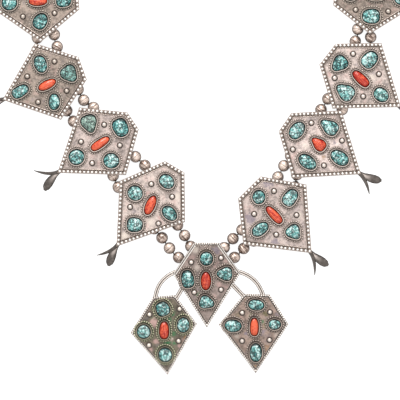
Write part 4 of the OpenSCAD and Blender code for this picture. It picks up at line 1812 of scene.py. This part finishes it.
@dataclass
class CentreDrop:
    """The centre plate and its two pendants on paired wires, leaning on the pendants' tips."""

    rows: tuple[PlateRow, ...]
    shanks: tuple[Shank, ...]
    wires: tuple[PairedWire, ...]
    tip: float = 29.5
    wing: float = 20.0
    head: float = 18.0
    blunt: float = 6.8
    hinge_y: float = -106.6
    hinge_z: float = 7.5
    drop_gap: float = 0.2
    pitch: float = 1.35
    plain_sides: tuple[int, ...] = (1, 3)
    ledge: EdgeWire = EdgeWire(0.0, 1.0, 0.08)
    hollow: EdgeWire = EdgeWire(0.95, 0.7, 0.06)
    outer_bar: EdgeWire = EdgeWire(0.0, 0.6, 0.5)
    inner_bar: EdgeWire = EdgeWire(1.15, 0.6, 0.45)
    line: EdgeWire = EdgeWire(1.6, 0.3825, 0.36)
    post_in: float = 0.4
    first_seed: int = 40

    def tilt(self) -> float:
        """Gives the lean of the drop, in radians: the lowest tip comes down to the table."""
        flat = [Plate(row, self.tip, self.wing, self.head, self.blunt) for row in self.rows]
        lowest = min((plate.place @ plate.corners()[0]).y / MM for plate in flat)
        return math.asin((self.hinge_z - self.drop_gap) / (self.hinge_y - lowest))

    def lie(self) -> Matrix:
        """Gives the turn of the drop about the line where it leaves the strands."""
        hinge = Vector((0, self.hinge_y, self.hinge_z)) * MM
        return Matrix.Translation(hinge) @ Matrix.Rotation(self.tilt(), 4, "X") @ Matrix.Translation(-hinge)

    def build(self, nodes: dict[str, bpy.types.Object], finishes: "Finishes") -> list[Plate]:
        """Builds and delivers the drop.

        Args:
            nodes: The frame's nodes.
            finishes: The finishes.

        Returns:
            Its three plates.
        """
        piece = Workpiece("plates_centre_drop")
        plates = []
        for seed, row in enumerate(self.rows):
            plate = Plate(row, self.tip, self.wing, self.head, self.blunt, self.lie())
            plates.append(plate)
            plate.read_stones(nodes[f"{stone}_{row.name}"] for stone in ("turquoise", "coral"))
            sheet = AgedSilver(f"silver_sheet_{row.name}", row.age, stains=row.stains).material()
            piece.add(plate.sheet(0.0), sheet, plate.place)
            plain = self.plain_sides if row.name == "centre" else ()
            milled = [side for side in range(5) if side not in plain]
            piece.add(plate.wire(self.ledge), finishes.milled_ledge, plate.place)
            # A dark strip between the ledge and the teeth: patina and painted shade.
            piece.add(plate.wire(self.hollow), finishes.crevice, plate.place)
            if plain:
                piece.add(plate.bars(plain, self.outer_bar), finishes.plain_edge, plate.place)
                piece.add(plate.bars(plain, self.inner_bar), finishes.plain_edge, plate.place)
            teeth = plate.teeth(finishes.tooth, milled, self.pitch, self.first_seed + seed)
            piece.add(teeth, finishes.milled, plate.place)
            piece.add(plate.wire(self.line), finishes.line, plate.place)
            plate.furnish(piece, finishes)
        for wire in self.wires:
            piece.add(wire.part(), finishes.lit_shaded_wire, self.lie())
        for shank in self.shanks:
            top = self.hinge_z + (shank.y - self.hinge_y) * math.sin(self.tilt())
            piece.add(shank.part(0.0, top + self.post_in), finishes.lit_shaded_wire)
        piece.deliver(["centre_drop"])
        return plates


@dataclass(frozen=True)
class Trim:
    """The finishes of one plate's cups, ropes, seats and half balls."""

    bezel: bpy.types.Material
    rope: bpy.types.Material
    seat: bpy.types.Material
    half_ball: bpy.types.Material

    @staticmethod
    def of(name: str, bezel: Colour, rope: Colour, seat: Colour, ball: Colour) -> "Trim":
        """Makes a set from its brightest colours.

        Args:
            name: The set's name.
            bezel: The cups' rims, where the painted highlight falls.
            rope: The ropes' tops.
            seat: The solder that the ropes lie in.
            ball: The half balls' tops.

        Returns:
            The set.
        """
        dark = paint(66, 54, 47)
        hollow = dimmed(seat, 0.76)
        return Trim(
            TrimSilver(f"silver_bezel_{name}", bezel, dimmed(bezel, 0.5)).material(),
            TrimSilver(
                f"silver_rope_{name}", rope, dimmed(rope, 0.62), hollow, low=0.0, high=0.85
            ).material(),
            Crevice(f"silver_seat_{name}", seat, hollow).material(),
            TrimSilver(
                f"silver_half_ball_{name}", ball, dimmed(ball, 0.48), dark, metal=0.4, low=0.3, high=0.95
            ).material(),
        )


class Finishes:
    """The finishes and the stamps that several pieces share."""

    def __init__(self) -> None:
        """Makes them."""
        cream = paint(255, 250, 244)
        # Each TrimSilver here paints a highlight where its surface faces up and shade on its walls.
        self.lit_shaded_wire = TrimSilver(
            "silver_wire", paint(238, 227, 218), paint(118, 103, 94), low=0.62, high=1.0
        ).material()
        self.line = TrimSilver("silver_line", paint(196, 180, 169), paint(130, 114, 104)).material()
        self.edge = TrimSilver("silver_edge", paint(158, 143, 134), paint(112, 98, 89), low=0.2).material()
        self.border = TrimSilver(
            "silver_border", cream, paint(196, 178, 168), metal=0.3, low=0.3, high=0.8
        ).material()
        self.milled = TrimSilver(
            "silver_milled", cream, paint(200, 184, 172), paint(140, 124, 114),
            metal=0.3, low=-0.2, high=0.5,
        ).material()
        self.plain_edge = TrimSilver("silver_plain_edge", cream, paint(160, 142, 130), low=0.4).material()
        self.crevice = Crevice("silver_crevice", paint(74, 61, 53), paint(42, 34, 29)).material()
        self.ledge = Crevice("silver_ledge", paint(143, 127, 117), paint(104, 90, 81)).material()
        self.milled_ledge = Crevice(
            "silver_milled_ledge", paint(172, 156, 145), paint(130, 115, 105)
        ).material()
        self.groove = Crevice("silver_groove", paint(112, 97, 88), paint(74, 62, 54)).material()
        light = Trim.of(
            "light", paint(220, 204, 193), paint(216, 200, 190), paint(172, 156, 147), paint(232, 218, 208)
        )
        grey = Trim.of(
            "grey", paint(200, 186, 174), paint(198, 185, 172), paint(148, 135, 124), paint(206, 192, 180)
        )
        dusky = Trim.of(
            "dusky", paint(194, 178, 166), paint(200, 184, 172), paint(130, 114, 105), paint(234, 220, 210)
        )
        green = Trim.of(
            "green", paint(176, 168, 146), paint(222, 216, 184), paint(76, 88, 62), paint(240, 228, 214)
        )
        self.trims = {
            SheetAge.BRIGHT: light, SheetAge.WORN: light, SheetAge.CLOUDED: light, SheetAge.GREY: grey,
            SheetAge.DUSKY: dusky, SheetAge.SMOKED: dusky, SheetAge.GREENED: green,
        }
        self.petal = PetalSilver("silver_petal").material()
        self.bead = BrushedBead("silver_bead").material()
        self.turquoise = Turquoise("turquoise").material()
        self.coral = Coral("coral").material()
        self.thread = TwistedThread("thread").material()
        self.clasp = AgedSilver("silver_clasp", SheetAge.GREY).material()
        self.border_ball = Stamp.ball(0.95)
        self.tooth = Stamp.bar(1.0, 0.75, 0.6)
        self.lay = Stamp.lay(1.3, 0.9)


@dataclass(frozen=True)
class Studio:
    """The plain pale table, the soft lights and the camera straight above."""

    view_x: float = -3.3
    view_y: float = -64.4
    view_mm: float = 240.0
    face_z: float = 8.6
    away: float = 3000.0
    table: float = 6.0
    horizon: float = 0.32
    zenith: float = 0.9
    sensor: float = 36.0
    sight: float = 20.0

    def build(self) -> None:
        """Sets the studio up."""
        self.camera()
        self.floor()
        self.softbox("key_light", (-0.15, 0.9, 0.9), 0.7, 15.0)
        self.softbox("fill_light", (0.5, -0.7, 1.2), 0.9, 2.0)
        self.sky()
        bpy.context.scene.view_settings.view_transform = "Standard"

    def sky(self) -> None:
        """Surrounds the scene with even light that is strong overhead and weak at the sides."""
        world = bpy.data.worlds.new("studio")
        graph = Graph(world)
        height = graph.height_of(graph.read("ShaderNodeTexCoord", output="Generated"))
        limits = {"Value": height, "To Min": self.horizon, "To Max": self.zenith}
        background = graph.tree.nodes["Background"]
        graph.feed(background.inputs[0], (1.0, 1.0, 1.0))
        graph.feed(background.inputs[1], graph.read("ShaderNodeMapRange", None, limits))
        bpy.context.scene.world = world

    def camera(self) -> None:
        """Makes the camera, as far away as keeps the plates free of perspective."""
        data = bpy.data.cameras.new("camera")
        data.sensor_width = self.sensor
        data.lens = self.sensor * (self.away - self.face_z) / self.view_mm
        data.clip_end = self.sight
        camera = new_object("camera", data)
        camera.location = Vector((self.view_x, self.view_y, self.away)) * MM
        bpy.context.scene.camera = camera

    def floor(self) -> None:
        """Makes the table's face."""
        part = bmesh.new()
        bmesh.ops.create_grid(part, x_segments=1, y_segments=1, size=self.table / 2)
        mesh = bpy.data.meshes.new("table")
        part.to_mesh(mesh)
        part.free()
        mesh.materials.append(LitPaper("table_paper").material())
        floor = new_object("table", mesh)

    @staticmethod
    def softbox(name: str, place: tuple[float, float, float], size: float, power: float) -> None:
        """Hangs a square soft light that faces the necklace.

        Args:
            name: Its name.
            place: Where it hangs, in metres.
            size: Its side, in metres.
            power: Its power in watts.
        """
        data = bpy.data.lights.new(name, "AREA")
        data.size = size
        data.energy = power
        light = new_object(name, data)
        light.location = place
        aim = Vector((0.0, -0.06, 0.0)) - Vector(place)
        light.rotation_euler = aim.to_track_quat("-Z", "Y").to_euler()


def seen(px: float, py: float) -> tuple[float, float]:
    """Turns a place in the photograph into millimetres on the table."""
    return (px - PHOTO_X) * PIXEL_MM, PHOTO_UP - py * PIXEL_MM


def stains(*groups: tuple[Any, ...]) -> tuple[Stain, ...]:
    """Lays stains where the photograph shows them.

    Args:
        *groups: Each is a kind and then its stains, of which each has its place across and down the
            photograph, its radius in millimetres and its strength, where that isn't the usual one.

    Returns:
        The stains, in the order in which they are laid.
    """
    usual = 0.7
    laid = []
    for kind, *spots in groups:
        for px, py, radius, *strength in spots:
            laid.append(Stain(kind, *seen(px, py), radius, *(strength or [usual])))
    return tuple(laid)


SIDE_ROWS = (
    PlateRow(
        "left_1", -31.6, -65.2, 56, (1.07, 0.94, 1.1, 0.87),
        skews=((-3.6, -0.1), (1.3, -0.2), (0.7, 1), (-0.9, 1.1), (-1.9, 0)),
        balls=((0.37, -0.37), (0.34, 0.3), (-0.28, -0.47), (-0.32, 0.43)),
        age=SheetAge.WORN, orange=0.55, shades=(0.78, 0.75, 0.5, 0.62), bows=(0.8, 0.9),
        stains=stains(
            (Tarnish.CREAM, (151, 222, 3.0), (177, 197, 3.0), (125, 236, 2.5), (165, 232, 2.5)),
            (Tarnish.PINK, (148, 194, 2.0), (160, 218, 2.0)),
            (Tarnish.VERDIGRIS, (163, 209, 1.2, 0.3)),
        ),
    ),
    PlateRow(
        "left_2", -61.6, -29, 34, (1.04, 1, 0.98, 0.8),
        skews=((-1, -1.4), (0.9, -1.2), (0.9, -0.2), (0.4, 0.7), (-1.2, 0.9)),
        balls=((0.33, -0.34), (0.29, 0.33), (-0.35, 0.3), (-0.4, -0.32)),
        age=SheetAge.CLOUDED, orange=0.75, shades=(0.4, 0.7, 0.5, 0.45), moss=(0.0, 1.0, 0.0, 0.0),
        bows=(1.4, 1.2),
        stains=stains(
            (Tarnish.CREAM, (80, 168, 3.0, 0.4), (120, 172, 3.0, 0.4)),
        ),
    ),
    PlateRow(
        "left_3", -94.2, 7, 20, (0.95, 1, 1, 1),
        skews=((-0.4, -1.4), (-0.4, -1.5), (0.3, 0), (0.2, 0.5), (-0.2, 0.8)),
        balls=((0.38, -0.4), (0.34, 0.42), (-0.35, -0.42), (-0.38, 0.3)),
        age=SheetAge.GREY, orange=0.7, shades=(0.2, 0.55, 0.55, 0.6), moss=(0.5, 0.0, 0.0, 0.0),
    ),
    PlateRow(
        "left_4", -100.3, 54.8, 3.5, (1, 1, 1, 1),
        skews=((0, -0.5), (0, -1.3), (2.7, 0.8), (2.6, -0.6), (0, 0.8)),
        balls=((0.43, -0.33), (0.43, 0.36), (-0.32, -0.37), (-0.32, 0.38)),
        age=SheetAge.GREY, shades=(0.4, 0.5, 0.3, 0.4),
    ),
    PlateRow(
        "right_1", 41.1, -73.2, 133, (0.99, 1.07, 1, 1.3),
        skews=((2, -1), (1.3, 1.1), (0.1, 1), (-0.2, 0), (-0.2, -1.1)),
        balls=((0.48, -0.39), (0.39, 0.34), (-0.31, -0.39), (-0.32, 0.29)),
        age=SheetAge.CLOUDED, shades=(0.5, 0.52, 0.85, 0.8), bows=(0.75, 1.0),
        stains=stains(
            (Tarnish.VIOLET, (268, 183, 3.4, 0.65), (250, 220, 4.0, 0.65), (275, 243, 3.4, 0.65)),
            (Tarnish.CREAM, (298, 215, 2.5)),
            (Tarnish.GOLD, (309, 250, 2.0, 0.4)),
        ),
    ),
    PlateRow(
        "right_2", 66.7, -31.1, 145, (0.98, 1.02, 1.03, 0.9),
        skews=((2.2, -0.7), (1.3, 1), (-0.6, 1), (-1, 0.2), (-1, -0.8)),
        balls=((0.45, -0.37), (0.45, 0.45), (-0.36, 0.33), (-0.37, -0.45)),
        age=SheetAge.BRIGHT, shades=(0.7, 0.45, 0.6, 0.45), bows=(1.25, 0.9),
        stains=stains(
            (Tarnish.CREAM, (305, 145, 2.5), (352, 147, 2.5)),
            (Tarnish.GOLD, (323, 157, 2.0, 0.5)),
            (Tarnish.VIOLET, (335, 143, 2.0, 0.5)),
            (Tarnish.PINK, (291, 157, 2.0)),
        ),
    ),
    PlateRow(
        "right_3", 91.1, 10.7, 144, (0.98, 0.98, 0.95, 1.03),
        skews=((2, -1.8), (1.1, 0.7), (-0.7, 0.8), (-2, -0.2), (-1.5, -1.9)),
        balls=((0.48, 0.42), (0.46, -0.38), (-0.34, -0.35), (-0.35, 0.37)),
        age=SheetAge.WORN, orange=0.3, shades=(0.28, 0.62, 0.57, 0.38), moss=(0.0, 0.0, 0.0, 0.2),
        stains=stains(
            (Tarnish.CREAM, (340, 92, 2.5), (372, 78, 2.5)),
            (Tarnish.PINK, (330, 75, 2.0)),
        ),
    ),
    PlateRow(
        "right_4", 100.2, 58.1, 176, (1, 0.93, 1, 1),
        skews=((0, -0.8), (0, 0.8), (-1.6, 0.3), (-1.6, -0.3), (-0.1, -1.4)),
        balls=((0.44, 0.42), (0.44, -0.38), (-0.33, 0.4), (-0.33, -0.39)),
        age=SheetAge.GREY, shades=(0.2, 0.58, 0.28, 0.18),
    ),
)
DROP_ROWS = (
    PlateRow(
        "centre", 0.7, -108.3, 90, (1.08, 0.98, 0.98, 1.05),
        skews=((0.1, -1), (0.7, 0.2), (0.3, 0.8), (-0.5, 0.8), (-0.6, -0.5)),
        balls=((0.53, -0.44), (0.38, 0.47), (-0.31, -0.44), (-0.36, 0.38)),
        age=SheetAge.DUSKY, orange=0.4, shades=(0.55, 0.4, 0.6, 0.6),
        stains=stains(
            (Tarnish.VERDIGRIS, (197, 294, 1.8, 0.5)),
            (Tarnish.CREAM, (195, 250, 2.0, 0.5)),
            (Tarnish.VIOLET, (217, 250, 2.4, 0.5)),
            (Tarnish.CREAM, (197, 267, 2.0, 0.4)),
            (Tarnish.PINK, (219, 284, 2.2, 0.5)),
            (Tarnish.VERDIGRIS, (231, 277, 1.4, 0.4)),
        ),
    ),
    PlateRow(
        "pendant_left", -25.1, -141.4, 94, (0.92, 0.99, 1.04, 0.9),
        skews=((0.4, -1.3), (0.2, 1.1), (2, 0.7), (1, 0.5), (-0.2, -1.6)),
        balls=((0.58, -0.52), (0.47, 0.4), (-0.31, -0.42), (-0.36, 0.48)),
        age=SheetAge.GREENED, orange=0.45, shades=(0.64, 0.74, 0.7, 0.6),
        stains=stains(
            (Tarnish.VERDIGRIS, (170, 321, 2.8, 0.8), (172, 334, 2.4, 0.8), (167, 343, 2.0, 0.9),
             (174, 344, 2.0, 0.9), (157, 308, 1.8), (172, 313, 1.8), (153, 319, 1.4), (151, 337, 1.8)),
            (Tarnish.OLIVE, (192, 326, 2.6), (186, 313, 2.0), (144, 346, 2.0), (140, 330, 1.6)),
            (Tarnish.VERDIGRIS, (158, 359, 2.0), (174, 358, 2.2)),
            (Tarnish.GOLD, (187, 337, 2.0)),
            (Tarnish.SMOKE, (169, 368, 3.0, 0.5)),
            (Tarnish.PINK, (154, 322, 3.0, 0.8), (156, 342, 2.0), (179, 346, 1.6), (150, 350, 1.8)),
            (Tarnish.CREAM, (172, 339, 1.2, 0.6)),
        ),
    ),
    PlateRow(
        "pendant_right", 28.9, -139.1, 90, (0.98, 1.04, 0.99, 1.08),
        skews=((1.3, -0.8), (0.2, 0), (2.3, 0.1), (1.8, 0.5), (-0.1, -0.3)),
        balls=((0.41, -0.47), (0.39, 0.33), (-0.33, -0.46), (-0.35, 0.33)),
        age=SheetAge.SMOKED, orange=0.85, shades=(0.5, 0.5, 0.5, 0.45),
        stains=stains(
            (Tarnish.OLIVE, (238, 317, 2.4, 0.5), (265, 326, 2.2), (265, 314, 2.2, 0.6)),
            (Tarnish.VERDIGRIS, (250, 316, 1.8, 0.5), (262, 322, 2.0)),
            (Tarnish.GOLD, (255, 367, 2.6), (229, 315, 2.2, 0.5), (268, 348, 2.4, 0.4)),
            (Tarnish.VIOLET, (247, 334, 2.0), (263, 332, 2.0), (279, 316, 2.4, 0.5)),
            (Tarnish.CREAM, (237, 335, 2.2, 0.4), (277, 335, 2.2, 0.4)),
            (Tarnish.SMOKE, (256, 372, 2.4, 0.5)),
        ),
    ),
)
SHANKS = {
    "left_1": (Shank("inner_left", -26.6, -61.5), Shank("outer_left", -39.4, -71.8)),
    "left_2": (Shank("inner_left", -54.7, -23.6), Shank("outer_left", -67.5, -33.4)),
    "left_3": (Shank("inner_left", -82.2, 12.9), Shank("outer_left", -93, 7.4)),
    "left_4": (Shank("inner_left", -92.3, 55), Shank("outer_left", -102.2, 54)),
    "right_1": (Shank("inner_right", 32.7, -66.4), Shank("outer_right", 41.6, -72.8)),
    "right_2": (Shank("inner_right", 58.3, -27), Shank("outer_right", 67.6, -33.2)),
    "right_3": (Shank("inner_right", 81.8, 13.7), Shank("outer_right", 91.2, 8)),
    "right_4": (Shank("inner_right", 92.6, 57.6), Shank("outer_right", 101.6, 54)),
    "centre": (Shank("inner_left", 0.8, -93.7, 11), Shank("outer_left", 0.8, -103, 11)),
}
WIRES = (
    PairedWire((-17.6, -107.4), (-30.2, -124), -3.3),
    PairedWire((19, -107.2), (34.6, -121.8), 3.1),
    PairedWire((-12.9, -115.6), (-18.3, -124.8), 0),
    PairedWire((15.4, -114.4), (24, -123.4), 0),
)


def main() -> None:
    """Builds the necklace and its studio, and reports each piece."""
    logging.basicConfig(level=logging.INFO, format="%(message)s")
    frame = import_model()
    nodes = frame["nodes"]
    Studio().build()
    finishes = Finishes()
    strands = {}
    for seed, strand in enumerate(("inner_left", "inner_right", "outer_left", "outer_right")):
        strands[strand] = BeadStrand(f"bead_string_{strand}", f"beads_{strand}", seed=seed)
        strands[strand].build(nodes[f"beads_{strand}"], finishes.bead)
    plates = [
        SideMedallion(row, SHANKS[row.name], seed=seed).build(nodes, strands, finishes)
        for seed, row in enumerate(SIDE_ROWS)
    ]
    plates += CentreDrop(DROP_ROWS, SHANKS["centre"], WIRES).build(nodes, finishes)
    for seed, plate in enumerate(plates):
        name = plate.row.name
        stones = StoneSet(f"turquoise_set_{name}", f"turquoise_{name}", plate, seed=seed)
        stones.build(nodes[stones.node], finishes.turquoise, "turquoise", plate.row.shades, plate.row.moss)
        coral = StoneSet(
            f"coral_set_{name}", f"coral_{name}", plate, tall=3.0, streaked=True, seed=seed + CORAL_SEEDS
        )
        coral.build(nodes[coral.node], finishes.coral, "coral", (plate.row.orange,))
    for name, finish in {
        "thread_inner": finishes.thread,
        "thread_outer": finishes.thread,
        "clasp_hook": finishes.clasp,
        "clasp_eye": finishes.clasp,
    }.items():
        nodes[name].data.materials.clear()
        nodes[name].data.materials.append(finish)


if __name__ == "__main__":
    main()
